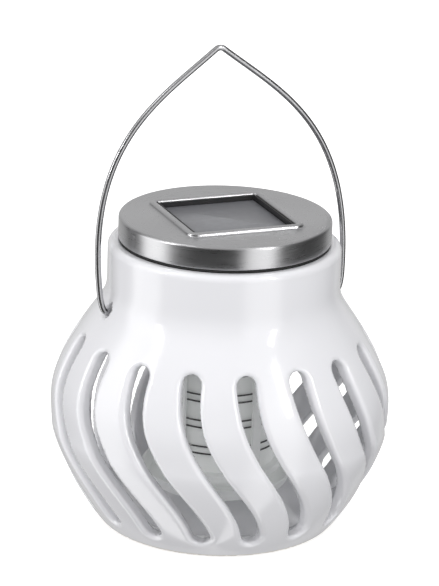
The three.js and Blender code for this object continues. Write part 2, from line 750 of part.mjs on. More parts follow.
function catchTray() {
  const floor = TRAY_Z + TRAY_WALL;
  const hubTop = CAGE_BASE_Z - FIT;
  const dish = turned([
    [0, TRAY_Z],
    [TRAY_FLOOR_R, TRAY_Z],
    [TRAY_R, TRAY_Z + TRAY_DEPTH],
    [TRAY_R - TRAY_WALL, TRAY_Z + TRAY_DEPTH],
    [TRAY_FLOOR_R - TRAY_WALL / 2, floor],
    [TRAY_HUB_R, floor],
    [TRAY_HUB_R, hubTop],
    [TRAY_HUB_R - TRAY_WALL, hubTop],
    [TRAY_HUB_R - TRAY_WALL, floor],
    [0, floor],
  ], ROUND_TUBE);
  return join([dish, block(GRIP, TRAY_Z + 0.1 - GRIP[2])]);
}

function cagePosts(parent) {
  const low = CAGE_BASE_Z + CAGE_BASE + FIT;
  const high = CAGE_TOP_Z - CAGE_TOP - FIT;
  for (let i = 0; i < POST_COUNT; i += 1) {
    const azimuth = POST_AZIMUTH + (360 / POST_COUNT) * i;
    const bar = block([POST_WIDTH, POST_DEPTH, high - low], low);
    const post = piece(`cage_post_${i + 1}`, bar, greyPlastic(), parent);
    post.position.copy(polar(CAGE_R - POST_DEPTH / 2, azimuth));
    post.rotation.z = radians(azimuth);
  }
}

function cage() {
  const group = new THREE.Group();
  const underside = CAGE_TOP_Z - CAGE_TOP;
  const top = cut(disc(CAGE_R, underside, CAGE_TOP_Z, ROUND_TUBE), [
    pin(LAMP_LEADS_HOLE_R, underside - 2, CAGE_TOP_Z + 2, LAMP_LEADS),
    ...CAGE_SCREW_SPOTS.map((spot) => pin(SCREW_HOLE_R, underside - 2, CAGE_TOP_Z + 2, spot)),
  ]);
  piece("cage_top", top, greyPlastic(), group);
  const seat = HOUSING_FLOOR_Z + HOUSING_WALL + 0.1;
  placedScrews("cage_screw", CAGE_SCREW_SPOTS, seat, -1, CAGE_SCREW, group);
  const base = disc(CAGE_R, CAGE_BASE_Z, CAGE_BASE_Z + CAGE_BASE, ROUND_TUBE);
  piece("cage_base", base, greyPlastic(), group);
  cagePosts(group);
  lamp(group);
  grids(group);
  piece("catch_tray", catchTray(), greyPlastic(), group);
  return group;
}

// ---- Assembly ----
function lantern() {
  const group = new THREE.Group();
  piece("ceramic_body", ceramicBody(), glaze(), group);
  group.add(bail());
  group.add(lid());
  group.add(electronics());
  group.add(cage());
  return group;
}

export default lantern();
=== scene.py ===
"""Solar lantern bug zapper: the looks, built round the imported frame.

A glazed pot with swirling slots, a brushed steel lid with a solar window, a wire bail, and a lamp
tube ringed by wire hoops that hangs inside. Shapes are in millimetres, and raw_mesh scales them to
metres. The camera, the lights and the finishes are in metres.
"""
import json
import math

import bmesh
import bpy
import numpy as np
from mathutils import Matrix, Vector


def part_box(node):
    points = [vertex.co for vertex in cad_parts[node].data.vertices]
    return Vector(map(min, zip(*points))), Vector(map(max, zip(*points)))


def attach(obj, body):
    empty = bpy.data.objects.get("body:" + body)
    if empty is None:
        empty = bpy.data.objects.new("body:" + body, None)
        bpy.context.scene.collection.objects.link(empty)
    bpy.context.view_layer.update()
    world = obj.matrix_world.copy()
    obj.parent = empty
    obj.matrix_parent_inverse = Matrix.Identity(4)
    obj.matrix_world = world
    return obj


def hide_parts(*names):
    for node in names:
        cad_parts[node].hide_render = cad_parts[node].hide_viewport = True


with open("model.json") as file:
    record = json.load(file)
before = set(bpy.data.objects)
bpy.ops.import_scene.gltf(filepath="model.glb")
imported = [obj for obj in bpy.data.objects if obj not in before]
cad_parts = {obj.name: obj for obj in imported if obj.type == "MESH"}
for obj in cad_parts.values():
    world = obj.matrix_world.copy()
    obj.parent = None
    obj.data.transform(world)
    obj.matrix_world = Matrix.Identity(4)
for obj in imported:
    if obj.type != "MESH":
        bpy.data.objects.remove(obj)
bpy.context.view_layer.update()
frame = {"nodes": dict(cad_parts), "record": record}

MM = 0.001

# ---- Camera ----
CAMERA_AZIMUTH = 22.0  # degrees, the look direction turned from +Y towards +X
CAMERA_ELEVATION = 18.768
CAMERA_ROLL = 1.884
CAMERA_DISTANCE = 1.2
CAMERA_LENS = 179.5
TARGET_RIGHT = -1.46 * MM
TARGET_HEIGHT = 95.8 * MM

# ---- Pot, as in the CAD ----
POT_LOW = [(49.5, 0), (58.4, 10.6), (70, 33.8), (70, 42.2)]
POT_HIGH = [(70, 42.2), (70, 56.4), (73.3, 61.5), (48.6, 95.4)]
POT_NECK_R = 47.8
POT_BORE_R = 42.3
POT_TOP_Z = 118.8
POT_RIM_ROUND = 2.7
POT_WALL = 5.5
POT_FLOOR_Z = 6.0
FOOT_RING_R = 43.0
FOOT_RECESS = 1.5
SLOT_COUNT = 17
SLOT_HALF = 4.1
SLOT_TOP_Z = 79.0
SLOT_BOTTOM_Z = 10.5
SLOT_END_Z = 3.0
SLOT_AZIMUTH = 9.35
SLOT_SWEEP = 27.3
SLOT_EASE_SPAN = 2.72
SLOT_EASE_POWER = 1.18
SLOT_EDGE_OUTER = 2.3  # radius that the glaze gives the slots' outer edges
SLOT_EDGE_INNER = 1.2
SLOT_GLAZE = 1.5  # how much lower glaze makes the slots' tops
SLOT_CORNER = 4.0
BAIL_HOLE_R = 2.8
BAIL_HOLE_Z = 93.0
BAIL_HOLE_EDGE = 0.9
POT_CELL = 1.22  # the surface net's grid
POT_SPAN = ((-72, -72, -2), (72, 72, 121))

# ---- Bail ----
BAIL_PIVOT_Z = 92.2
BAIL_WIRE_R = 1.25
BAIL_TILT = 6.5  # degrees towards +Y

# ---- Lid ----
LID_R = 43.6
LID_TOP_Z = 129.3
LID_SKIRT_Z = 119.9
LID_SHEET = 0.8
LID_EDGE = 1.4
WINDOW_HALF = 22.0
# The window frame's parts, with reach counted out from the window's edge.
FRAME_LEDGE = (-3.0, 125.2, 125.9)  # inner edge, bottom and top
FRAME_WALL = (-1.1, -0.3, 130.0)  # inner face, outer face and top
FRAME_FLANGE = (2.5, 127.0, 128.2)  # outer edge, bottom and top
BEAD_WIDTH = 3.5
BEAD_HEIGHT = 1.5
BEAD_SPAN = 4.4  # out to where the lid is flat again
SKIRT_ROUND = 0.45
SEAL_WIDTH = 1.4
CHASSIS_Z = (121.0, 123.0)
CHASSIS_R = 42.4
PLUG_R = (39.8, 41.6)
PLUG_BOTTOM_Z = 104.0
PANEL_LEADS = (10, 12, 3.2)  # x, y and radius of their hole

# ---- Electronics under the lid ----
HOUSING_R = (31.2, 33.0)
HOUSING_Z = (86.0, 87.8)  # its floor
FLANGE_Z = (118.9, 120.7)
FLANGE_R = 39.3
FLANGE_SCREW_R = 36.2
FLANGE_SCREWS = [
    (FLANGE_SCREW_R * math.sin(a), -FLANGE_SCREW_R * math.cos(a))
    for a in map(math.radians, (60, 180, 300))
]
FLANGE_HOLE_R = 1.4
SCREW_HOLE_R = 1.3
BOARD_Z = (104.3, 105.9)
BOARD_R = 29.5
BOARD_SCREWS = [(18, 18.5), (-18, 18.5), (0, -25)]
BOARD_POST_R = 2.4
BATTERY_R = 7.1
BATTERY_HALF = 24.5
BATTERY_Y = -9.5
BATTERY_Z = 95.6
SPRING_R = (2.2, 3.8)  # at its two ends
SPRING_TURNS = 2
SPRING_LENGTH = 2
SPRING_WIRE_R = 0.3
SWITCH_Y = 28.6
SWITCH_HOLE = (3.2, 1.3)  # half sides
LAMP_LEADS = (0, 3, 2.8)
LEAD_R = 0.6
LEAD_APART = 1.1  # from a pair's middle

# ---- Cage ----
CAGE_R = 26.8
CAGE_TOP_Z = (82.0, 85.7)
CAGE_BASE_Z = (22.3, 25.3)
CAGE_SCREWS = [(21, 3), (-21, 3)]
TUBE_R = (22.5, 23.9)
TUBE_Z = (25.6, 81.7)
TRAY_R = 32.0
TRAY_Z = (15.5, 21.1)
TRAY_WALL = 1.2
TRAY_FLOOR_R = 29.0
TRAY_HUB_R = 16.0
TRAY_HUB_TOP_Z = 22.0
GRIP = (15.0, 2.0, 13.2, 15.6)  # half length, half width, bottom and top
HOOP_R = 24.7
HOOP_WIRE_R = 0.35
HOOP_Z = 35.7
HOOP_PITCH = 11.3
HOOP_GAP = 3.1
HOOP_PAIRS = 4
HOOP_OPENING = 8.0  # degrees
RISER_R = 0.42
RISER_AZIMUTH = (-58.0, 86.0)  # upper and lower electrode
LED_Z = 80.0
LED_RING_R = 12.0
LED_R = 2.5
LED_RIM_R = 2.9

# ---- Screws: piece, node, places, seat, direction, head and shank radius, length ----
SCREWS = [
    ("flange_fixing", "housing_screw", FLANGE_SCREWS, FLANGE_Z[0] - 0.1, 1, 2.3, 1.1, 3.8),
    ("board_fixing", "board_screw", BOARD_SCREWS, BOARD_Z[1] + 0.1, -1, 2.2, 1.0, 7.0),
    ("cage_fixing", "cage_screw", CAGE_SCREWS, HOUSING_Z[1] + 0.1, -1, 2.2, 1.0, 5.2),
]


# ---- Mesh helpers ----
def bezier(points, count):
    """Points along a cubic curve, the last one left out."""
    a, b, c, d = np.array(points, float)
    t = np.linspace(0, 1, count, endpoint=False)[:, None]
    u = 1 - t
    return u**3 * a + 3 * u * u * t * b + 3 * u * t * t * c + t**3 * d


def arc(centre, radius, start, end, count):
    """Points round a circle in a plane, angles in degrees."""
    a = np.radians(np.linspace(start, end, count))
    return np.column_stack([centre[0] + radius * np.cos(a), centre[1] + radius * np.sin(a)])


def offset_left(points, depth):
    """An open line moved to its left by a depth."""
    step = np.gradient(points, axis=0)
    step /= np.linalg.norm(step, axis=1)[:, None]
    return points + depth * np.column_stack([-step[:, 1], step[:, 0]])


def grid_faces(rows, columns, close_rows, close_columns):
    """Quads of a grid of points, row after row."""
    r = np.arange(rows if close_rows else rows - 1)
    c = np.arange(columns if close_columns else columns - 1)
    i, j = np.meshgrid(r, c, indexing="ij")
    i2, j2 = (i + 1) % rows, (j + 1) % columns
    quads = [i * columns + j, i * columns + j2, i2 * columns + j2, i2 * columns + j]
    return np.stack(quads, -1).reshape(-1, 4)


def lathe(outline, sides=96):
    """An outline of [radius, height], anticlockwise, turned about Z. Ends on the axis are closed."""
    outline = np.array(outline, float)
    on_axis = outline[0][0] < 1e-6
    ring = outline[1:-1] if on_axis else outline
    a = np.linspace(0, 2 * np.pi, sides, endpoint=False)
    x = ring[:, :1] * np.cos(a)
    y = ring[:, :1] * np.sin(a)
    z = np.repeat(ring[:, 1:], sides, axis=1)
    points = np.stack([x, y, z], -1).reshape(-1, 3)
    faces = [tuple(f) for f in grid_faces(len(ring), sides, not on_axis, True)]
    if on_axis:
        low, high = len(points), len(points) + 1
        points = np.vstack([points, [0, 0, outline[0][1]], [0, 0, outline[-1][1]]])
        last = (len(ring) - 1) * sides
        for k in range(sides):
            faces.append(((k + 1) % sides, k, low))
            faces.append((last + k, last + (k + 1) % sides, high))
    return points, faces


def swept(path, radius, sides=16):
    """A round wire along a path of points, with domed ends."""
    path = np.array(path, float)
    along = np.gradient(path, axis=0)
    along /= np.linalg.norm(along, axis=1)[:, None]
    side = np.cross(along[0], [0.3, 0.9, 0.2])
    rings = []
    a = np.linspace(0, 2 * np.pi, sides, endpoint=False)[:, None]
    for p, t in zip(path, along):
        side = side - t * (side @ t)
        side /= np.linalg.norm(side)
        rings.append((p, t, side.copy(), np.cross(t, side)))
    dome = np.radians([75, 50, 25])
    first = [(rings[0], math.cos(d), -math.sin(d)) for d in dome]
    last = [(rings[-1], math.cos(d), math.sin(d)) for d in dome[::-1]]
    stations = first + [(r, 1.0, 0.0) for r in rings] + last
    points = [
        p + t * push * radius + radius * scale * (np.cos(a) * u + np.sin(a) * v)
        for (p, t, u, v), scale, push in stations
    ]
    points = np.concatenate(points)
    faces = [tuple(f) for f in grid_faces(len(stations), sides, False, True)]
    start, end = len(points), len(points) + 1
    tip_low = rings[0][0] - rings[0][1] * radius
    tip_high = rings[-1][0] + rings[-1][1] * radius
    points = np.vstack([points, tip_low, tip_high])
    top = (len(stations) - 1) * sides
    for k in range(sides):
        faces.append(((k + 1) % sides, k, start))
        faces.append((top + k, top + (k + 1) % sides, end))
    return points, faces


def joined(parts):
    """Several (points, faces) as one, where they don't overlap or are too fine for it to show."""
    points, faces = [], []
    count = 0
    for p, f in parts:
        points.append(p)
        faces += [tuple(int(i) + count for i in face) for face in f]
        count += len(p)
    return np.concatenate(points), faces


def raw_mesh(name, shape):
    """A mesh in metres from (points in mm, faces), its faces turned out."""
    points, faces = shape
    mesh = bpy.data.meshes.new(name)
    mesh.from_pydata((np.asarray(points) * MM).tolist(), [], [list(map(int, f)) for f in faces])
    outward(mesh)
    return mesh


def combined(base, added=(), taken=()):
    """A shape with others joined to it and then others cut from it, as one closed shape."""
    main = bpy.data.objects.new("work", raw_mesh("work", base))
    bpy.context.scene.collection.objects.link(main)
    tools = [(s, "UNION") for s in added] + [(s, "DIFFERENCE") for s in taken]
    others = []
    for shape, operation in tools:
        other = bpy.data.objects.new("tool", raw_mesh("tool", shape))
        bpy.context.scene.collection.objects.link(other)
        others.append(other)
        change = main.modifiers.new("change", "BOOLEAN")
        change.operation = operation
        change.object = other
        change.solver = "EXACT"
    made = main.evaluated_get(bpy.context.evaluated_depsgraph_get()).to_mesh()
    points = np.array([v.co for v in made.vertices]) / MM
    faces = [tuple(f.vertices) for f in made.polygons]
    for item in [main, *others]:
        mesh = item.data
        bpy.data.objects.remove(item)
        bpy.data.meshes.remove(mesh)
    return points, faces


def moved(shape, x=0.0, y=0.0, z=0.0):
    points, faces = shape
    return points + np.array([x, y, z]), faces


def rounded_outline(corners, radius):
    """A closed outline with each corner rounded, except those on the axis, where x is 0."""
    corners = np.array(corners, float)
    made = []
    for before, here, after in zip(np.roll(corners, 1, 0), corners, np.roll(corners, -1, 0)):
        if here[0] < 1e-6:
            made.append([here])
            continue
        a, b = before - here, after - here
        reach = min(radius, np.linalg.norm(a) * 0.45, np.linalg.norm(b) * 0.45)
        a, b = here + a / np.linalg.norm(a) * reach, here + b / np.linalg.norm(b) * reach
        t = np.linspace(0, 1, 5)[:, None]
        made.append((1 - t) ** 2 * a + 2 * t * (1 - t) * here + t**2 * b)
    return np.vstack(made)


def turned(corners, radius=0.3, sides=96):
    """A lathe shape from its corners, listed anticlockwise; one on the axis comes first and last."""
    return lathe(rounded_outline(corners, radius), sides)


def drill(x, y, radius, low, high):
    """A plain round cutter."""
    return moved(lathe([(0, low), (radius, low), (radius, high), (0, high)], 32), x, y)


def drills(places, radius, low, high):
    return [drill(x, y, radius, low, high) for x, y in places]


def disc(radius, low, high, edge, sides=96):
    """A round plate or post with softened edges."""
    return turned([(0, low), (radius, low), (radius, high), (0, high)], edge, sides)


def slab(half_x, half_y, low, high, corner=0.5, edge=0.2):
    """A flat bar or block with rounded corners and softened edges."""
    turns = np.radians(np.concatenate([np.linspace(0, 90, 7) + 90 * k for k in range(4)]))
    middle = np.array([[1, 1], [-1, 1], [-1, -1], [1, -1]]).repeat(7, axis=0)
    rings = []
    for inset, z in ((edge, low), (edge * 0.3, low + edge * 0.3), (0, low + edge),
                     (0, high - edge), (edge * 0.3, high - edge * 0.3), (edge, high)):
        round_by = corner - inset
        x = middle[:, 0] * (half_x - corner) + round_by * np.cos(turns)
        y = middle[:, 1] * (half_y - corner) + round_by * np.sin(turns)
        rings.append(np.column_stack([x, y, np.full(len(x), z)]))
    count = len(turns)
    faces = [tuple(f) for f in grid_faces(len(rings), count, False, True)]
    faces.append(tuple(range(count))[::-1])
    faces.append(tuple(range((len(rings) - 1) * count, len(rings) * count)))
    return np.concatenate(rings), faces


def outward(mesh):
    """Turns the faces out, whichever way they were listed."""
    shape = bmesh.new()
    shape.from_mesh(mesh)
    bmesh.ops.recalc_face_normals(shape, faces=shape.faces)
    shape.to_mesh(mesh)
    shape.free()


def piece(name, shape, slot, replaces, body="lid", sharp=35):
    """A new piece from a shape in mm, with its finish, its body and the nodes that it stands for."""
    mesh = raw_mesh(name, shape)
    mesh.shade_smooth()
    if sharp:
        mesh.set_sharp_from_angle(angle=math.radians(sharp))
    made = bpy.data.objects.new(name, mesh)
    bpy.context.scene.collection.objects.link(made)
    made.data.materials.append(FINISHES[slot])
    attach(made, body)
    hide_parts(*replaces)
    return made


# ---- Camera, floor and light ----
def camera():
    turn, tip, roll = map(math.radians, (CAMERA_AZIMUTH, CAMERA_ELEVATION, CAMERA_ROLL))
    right = Vector((math.cos(turn), -math.sin(turn), 0))
    away = Vector((math.sin(turn), math.cos(turn), 0))
    target = right * TARGET_RIGHT + Vector((0, 0, TARGET_HEIGHT))
    forward = away * math.cos(tip) - Vector((0, 0, math.sin(tip)))
    up = right.cross(forward)
    rolled_right = right * math.cos(roll) + up * math.sin(roll)
    rolled_up = up * math.cos(roll) - right * math.sin(roll)
    data = bpy.data.cameras.new("camera")
    data.sensor_width = 36
    data.lens = CAMERA_LENS
    data.clip_start = 0.05
    made = bpy.data.objects.new("camera", data)
    turned = Matrix((rolled_right, rolled_up, -forward)).transposed().to_4x4()
    made.matrix_world = Matrix.Translation(target - forward * CAMERA_DISTANCE) @ turned
    bpy.context.scene.collection.objects.link(made)
    bpy.context.scene.camera = made


def softbox(name, azimuth, elevation, distance, size, power, in_gloss):
    """An area light aimed at the lantern; azimuth is from the camera's side, towards its right."""
    a = math.radians(azimuth - CAMERA_AZIMUTH)
    e = math.radians(elevation)
    back = Vector((math.sin(a) * math.cos(e), -math.cos(a) * math.cos(e), math.sin(e)))
    data = bpy.data.lights.new(name, "AREA")
    data.shape = "RECTANGLE"
    data.size, data.size_y = size
    data.energy = power
    made = bpy.data.objects.new(name, data)
    made.location = back * distance + Vector((0, 0, LIGHTS_AIM_Z))
    made.rotation_mode = "QUATERNION"
    made.rotation_quaternion = back.to_track_quat("Z", "Y")
    made.visible_glossy = in_gloss
    bpy.context.scene.collection.objects.link(made)


# What polished metal sees round the horizon: degrees from the camera's side, and brightness.
SURROUND = [
    (-180, 0.60), (-140, 0.50), (-118, 0.12), (-106, 0.14), (-92, 1.6), (-72, 1.6),
    (-56, 0.16), (-30, 0.06), (14, 0.07), (30, 1.25), (50, 1.4), (66, 0.14),
    (100, 0.06), (128, 0.12), (150, 0.50), (180, 0.60),
]
OVERHEAD = 0.60
OVERHEAD_FROM = (0.45, 0.85)  # the rise over which the walls give way to it
AMBIENT = (0.60, 0.36)  # what matt surfaces get from below and from above
AMBIENT_RISE = 0.6

# Area lights: name, azimuth, elevation, distance, size, watts, and whether reflections see them.
LIGHTS = [
    ("left_box", -84, 22, 1.0, (0.7, 0.7), 3.0, False),
    ("right_box", 62, 22, 1.0, (0.7, 0.7), 2.4, False),
    ("back_box", 165, 50, 1.2, (1.2, 0.8), 3.0, False),
    ("top_box", 10, 86, 1.0, (1.0, 1.0), 2.4, False),
    ("front_box", -8, 8, 1.3, (0.9, 0.5), 5.0, False),
    ("left_strip", -62, 30, 1.1, (0.07, 0.40), 1.5, True),
    ("right_strip", 50, 30, 1.1, (0.07, 0.40), 1.5, True),
    ("left_high", -60, 58, 1.1, (0.3, 0.12), 0.6, True),
    ("right_high", 54, 58, 1.1, (0.3, 0.12), 0.6, True),
]
LIGHTS_AIM_Z = 0.08

FLOOR_HALF = 1.6
FLOOR_DROP = 0.2 * MM
FLOOR_GLOW = (0.3, 0.8, 0.42, 1.0)  # near and far distance, and the glow at each


class Nodes:
    """Makes and links the nodes of a material's tree or the world's."""

    def __init__(self, tree, coordinates):
        self.tree = tree
        self.place = self.node("ShaderNodeTexCoord").outputs[coordinates]

    def node(self, kind, inputs=(), **settings):
        made = self.tree.nodes.new(kind)
        for key, value in settings.items():
            setattr(made, key, value)
        for key, value in dict(inputs).items():
            self.feed(made.inputs[key], value)
        return made

    def feed(self, socket, value):
        """Links a socket to another one, or sets its value."""
        if isinstance(value, bpy.types.NodeSocket):
            self.tree.links.new(value, socket)
        else:
            socket.default_value = value

    def maths(self, operation, a, b=0.0):
        return self.node("ShaderNodeMath", {0: a, 1: b}, operation=operation).outputs[0]

    def split(self):
        return self.node("ShaderNodeSeparateXYZ", {0: self.place}).outputs

    def spread(self, value, low, high, to_low=0.0, to_high=1.0, **settings):
        """A value's range from low to high, as one from to_low to to_high."""
        ends = {"From Min": low, "From Max": high, "To Min": to_low, "To Max": to_high}
        return self.node("ShaderNodeMapRange", {"Value": value, **ends}, **settings).outputs[0]


def surround(walls):
    """Brightness of the studio walls as reflections see them, by direction."""
    x, y, z = walls.split()
    across, towards = (
        walls.maths("ADD", walls.maths("MULTIPLY", x, a), walls.maths("MULTIPLY", y, b))
        for a, b in Matrix.Rotation(math.radians(CAMERA_AZIMUTH), 2)
    )
    turn = walls.maths("ARCTAN2", across, walls.maths("MULTIPLY", towards, -1.0))
    share = walls.maths("ADD", walls.maths("DIVIDE", turn, 2 * math.pi), 0.5)
    ramp = walls.node("ShaderNodeValToRGB", {"Fac": share})
    ramp.color_ramp.interpolation = "EASE"
    stops = ramp.color_ramp.elements
    while len(stops) < len(SURROUND):
        stops.new(0.5)
    for stop, (degrees, level) in zip(stops, SURROUND):
        stop.position = (degrees + 180) / 360
        stop.color = (level / 2, level / 2, level / 2, 1)  # a ramp goes no higher than 1
    low = walls.maths("MULTIPLY", ramp.outputs["Color"], 2.0)
    high = walls.spread(z, *OVERHEAD_FROM, interpolation_type="SMOOTHSTEP")
    low = walls.maths("MULTIPLY", low, walls.maths("SUBTRACT", 1.0, high))
    return walls.maths("ADD", low, walls.maths("MULTIPLY", high, OVERHEAD))


def studio():
    world = bpy.data.worlds.new("studio")
    bpy.context.scene.world = world
    world.use_nodes = True
    sky = world.node_tree.nodes["Background"]
    sky.inputs["Color"].default_value = (1, 1, 1, 1)
    walls = Nodes(world.node_tree, "Generated")
    path = walls.node("ShaderNodeLightPath").outputs

    def choose(test, no, yes):
        return walls.node("ShaderNodeMix", {"Factor": test, "A": no, "B": yes}).outputs["Result"]

    ambient = walls.spread(walls.split()[2], -AMBIENT_RISE, AMBIENT_RISE, *AMBIENT)
    level = choose(path["Is Glossy Ray"], ambient, surround(walls))
    level = choose(path["Is Camera Ray"], level, 1.0)
    walls.feed(sky.inputs["Strength"], level)

    for light in LIGHTS:
        softbox(*light)

    half = FLOOR_HALF
    mesh = bpy.data.meshes.new("floor")
    corners = [(-half, -half, 0), (half, -half, 0), (half, half, 0), (-half, half, 0)]
    mesh.from_pydata(corners, [], [(0, 1, 2, 3)])
    floor = bpy.data.objects.new("floor", mesh)
    floor.location.z = -FLOOR_DROP
    floor.visible_glossy = False
    floor.visible_diffuse = False
    bpy.context.scene.collection.objects.link(floor)
    paper = Finish("floor_paper", Roughness=0.9, Emission_Color=(1, 1, 1, 1))
    reach = paper.node("ShaderNodeVectorMath", {0: paper.place}, operation="LENGTH")
    glow = paper.spread(reach.outputs["Value"], *FLOOR_GLOW)
    paper.feed(paper.shader.inputs["Emission Strength"], glow)
    paper.colour((0.93, 0.93, 0.93), (0.9, 0.9, 0.9), paper.noise(6))
    floor.data.materials.append(paper.material)
    bpy.context.scene.view_settings.view_transform = "Standard"


# ---- Finishes ----
PAINTED_GLOW_TINT = (0.95, 0.97, 0.96, 1)  # painted light: the tint of the glow that lightens the tube and the grey plastics in the pot's shade


class Finish(Nodes):
    """A Principled material whose colour, roughness and bump come from nodes in object space."""

    def __init__(self, name, **sockets):
        self.material = bpy.data.materials.new(name)
        self.material.use_nodes = True
        super().__init__(self.material.node_tree, "Object")
        self.shader = self.tree.nodes["Principled BSDF"]
        for socket, value in sockets.items():
            self.shader.inputs[socket.replace("_", " ")].default_value = value
        self.lumps = None

    def noise(self, per_metre, detail=3.0, stretch=(1, 1, 1), where=None):
        place = self.node("ShaderNodeMapping", {"Vector": where or self.place, "Scale": stretch})
        inputs = {"Vector": place.outputs[0], "Scale": per_metre, "Detail": detail}
        return self.node("ShaderNodeTexNoise", inputs).outputs["Fac"]

    def cells(self, per_metre):
        made = self.node("ShaderNodeTexVoronoi", {"Vector": self.place, "Scale": per_metre})
        return made.outputs["Distance"]

    def polar(self, round_scale=1.0, out_scale=1.0):
        """Radius, turn and height as a vector, for patterns that run round the Z axis."""
        x, y, z = self.split()
        square = self.maths("ADD", self.maths("MULTIPLY", x, x), self.maths("MULTIPLY", y, y))
        radius = self.maths("SQRT", square)
        turn = self.maths("MULTIPLY", self.maths("ARCTAN2", y, x), round_scale)
        out = self.maths("MULTIPLY", radius, out_scale)
        up = self.maths("MULTIPLY", z, out_scale)
        return self.node("ShaderNodeCombineXYZ", {0: out, 1: turn, 2: up}).outputs[0]

    def blend(self, factor, a, b):
        made = self.node("ShaderNodeMix", data_type="RGBA")
        self.feed(made.inputs["Factor"], factor)
        for socket, value in ((made.inputs[6], a), (made.inputs[7], b)):
            self.feed(socket, value if isinstance(value, bpy.types.NodeSocket) else (*value, 1))
        return made.outputs[2]

    def paint(self, colour):
        self.feed(self.shader.inputs["Base Color"], colour)

    def colour(self, a, b, factor):
        """Base colour between two colours."""
        self.paint(self.blend(factor, a, b))

    def roughness(self, value, low, high):
        self.feed(self.shader.inputs["Roughness"], self.spread(value, 0.3, 0.7, low, high))

    def bump(self, height, distance, strength=1.0):
        """Adds relief of a depth in metres on top of what is there."""
        inputs = {"Height": height, "Distance": distance, "Strength": strength}
        made = self.node("ShaderNodeBump", inputs)
        if self.lumps:
            self.feed(made.inputs["Normal"], self.lumps)
        self.lumps = made.outputs["Normal"]
        self.feed(self.shader.inputs["Normal"], self.lumps)


def glaze():
    f = Finish("white_glaze", Roughness=0.12, Coat_Weight=0.8, Coat_Roughness=0.03)
    drift = f.noise(14, 2)
    speck = f.spread(f.cells(260), 0.0, 0.028, 1.0, 0.0)
    body = f.blend(drift, (0.775, 0.775, 0.805), (0.83, 0.83, 0.855))
    speckled = f.blend(f.maths("MULTIPLY", speck, 0.10), body, (0.55, 0.52, 0.47))
    bisque = f.blend(f.noise(900, 4), (0.70, 0.66, 0.60), (0.80, 0.77, 0.71))
    bare = f.spread(f.split()[2], 0.0005, 0.0011, 1.0, 0.0)
    f.paint(f.blend(bare, speckled, bisque))
    rough = f.spread(f.noise(40, 4), 0.3, 0.7, 0.08, 0.15)
    f.feed(f.shader.inputs["Roughness"], f.maths("MAXIMUM", rough, f.maths("MULTIPLY", bare, 0.8)))
    f.bump(f.noise(55, 2), 0.00022, 0.5)
    f.bump(f.noise(600, 2), 0.000004, 0.5)
    return f.material


def brushed_steel():
    f = Finish(
        "brushed_steel", Metallic=1.0, Roughness=0.3, Anisotropic=0.7, Anisotropic_Rotation=0.25
    )
    grain = f.noise(1.0, 4, where=f.polar(5.0, 3200))
    broad = f.noise(1.0, 2, where=f.polar(2.2, 60))
    mixed = f.maths("ADD", f.maths("MULTIPLY", grain, 0.6), f.maths("MULTIPLY", broad, 0.4))
    f.colour((0.50, 0.50, 0.51), (0.66, 0.66, 0.67), mixed)
    f.roughness(grain, 0.26, 0.36)
    f.bump(grain, 0.000012, 0.35)
    tangent = f.node("ShaderNodeTangent", direction_type="RADIAL", axis="Z")
    f.feed(f.shader.inputs["Tangent"], tangent.outputs[0])
    return f.material


def drawn_wire():
    f = Finish("drawn_wire", Metallic=1.0, Roughness=0.25)
    streaks = f.noise(260, 2, (1, 1, 0.1))
    f.colour((0.44, 0.44, 0.45), (0.54, 0.54, 0.55), streaks)
    f.roughness(f.noise(90, 2), 0.22, 0.30)
    f.bump(streaks, 0.000004, 0.3)
    return f.material


def plastic(name, dark, light, rough, grain=0.00002, per_metre=1800, glow=0.0):
    # glow is painted light: an emission that lightens a plastic sitting in shade, not a lamp
    f = Finish(name, Roughness=rough, Emission_Strength=glow, Emission_Color=PAINTED_GLOW_TINT)
    f.colour(dark, light, f.noise(60, 3))
    texture = f.noise(per_metre, 3)
    f.roughness(texture, rough - 0.06, rough + 0.06)
    f.bump(texture, grain, 0.5)
    return f.material


def solar_cell():
    """Dark cells with thin silver fingers and bars, under clear resin."""
    f = Finish("solar_cell", Roughness=0.4, Coat_Weight=0.6, Coat_Roughness=0.3)
    x, y, _ = f.split()

    def lines(axis, pitch, width):
        place = f.maths("FRACT", f.maths("ADD", f.maths("DIVIDE", axis, pitch), 50.5))
        off = f.maths("ABSOLUTE", f.maths("SUBTRACT", place, 0.5))
        return f.maths("LESS_THAN", off, width / pitch / 2)

    crystals = f.cells(420)
    silicon = f.blend(crystals, (0.15, 0.152, 0.165), (0.185, 0.188, 0.205))
    fingers = f.maths("MULTIPLY", lines(x, 0.0016, 0.00010), 0.06)
    silver = f.blend(fingers, silicon, (0.25, 0.26, 0.28))
    bars = f.maths("MULTIPLY", lines(y, 0.0103, 0.0005), 0.12)
    f.paint(f.blend(bars, silver, (0.30, 0.31, 0.33)))
    f.roughness(f.noise(90, 3), 0.34, 0.46)
    f.bump(f.noise(70, 2), 0.00003, 0.3)
    return f.material


def circuit_board():
    f = Finish("solder_mask", Roughness=0.4, Coat_Weight=0.3)
    traces = f.spread(f.noise(190, 1, (1, 3, 1)), 0.49, 0.51)
    f.colour((0.02, 0.15, 0.06), (0.04, 0.26, 0.10), traces)
    f.roughness(f.noise(500), 0.30, 0.45)
    f.bump(traces, 0.00003, 0.6)
    return f.material


def wound_tape():
    f = Finish("wound_tape", Roughness=0.5)
    turns = f.noise(900, 2, (0.05, 0.05, 1))
    f.colour((0.62, 0.48, 0.12), (0.82, 0.68, 0.24), turns)
    f.roughness(f.noise(400), 0.4, 0.6)
    f.bump(turns, 0.00006, 0.6)
    return f.material


def dipped_epoxy():
    f = Finish("dipped_epoxy", Roughness=0.3, Coat_Weight=0.4)
    f.colour((0.38, 0.05, 0.03), (0.56, 0.09, 0.06), f.noise(240))
    f.roughness(f.noise(500), 0.22, 0.38)
    f.bump(f.noise(420, 2), 0.00012, 0.5)
    return f.material


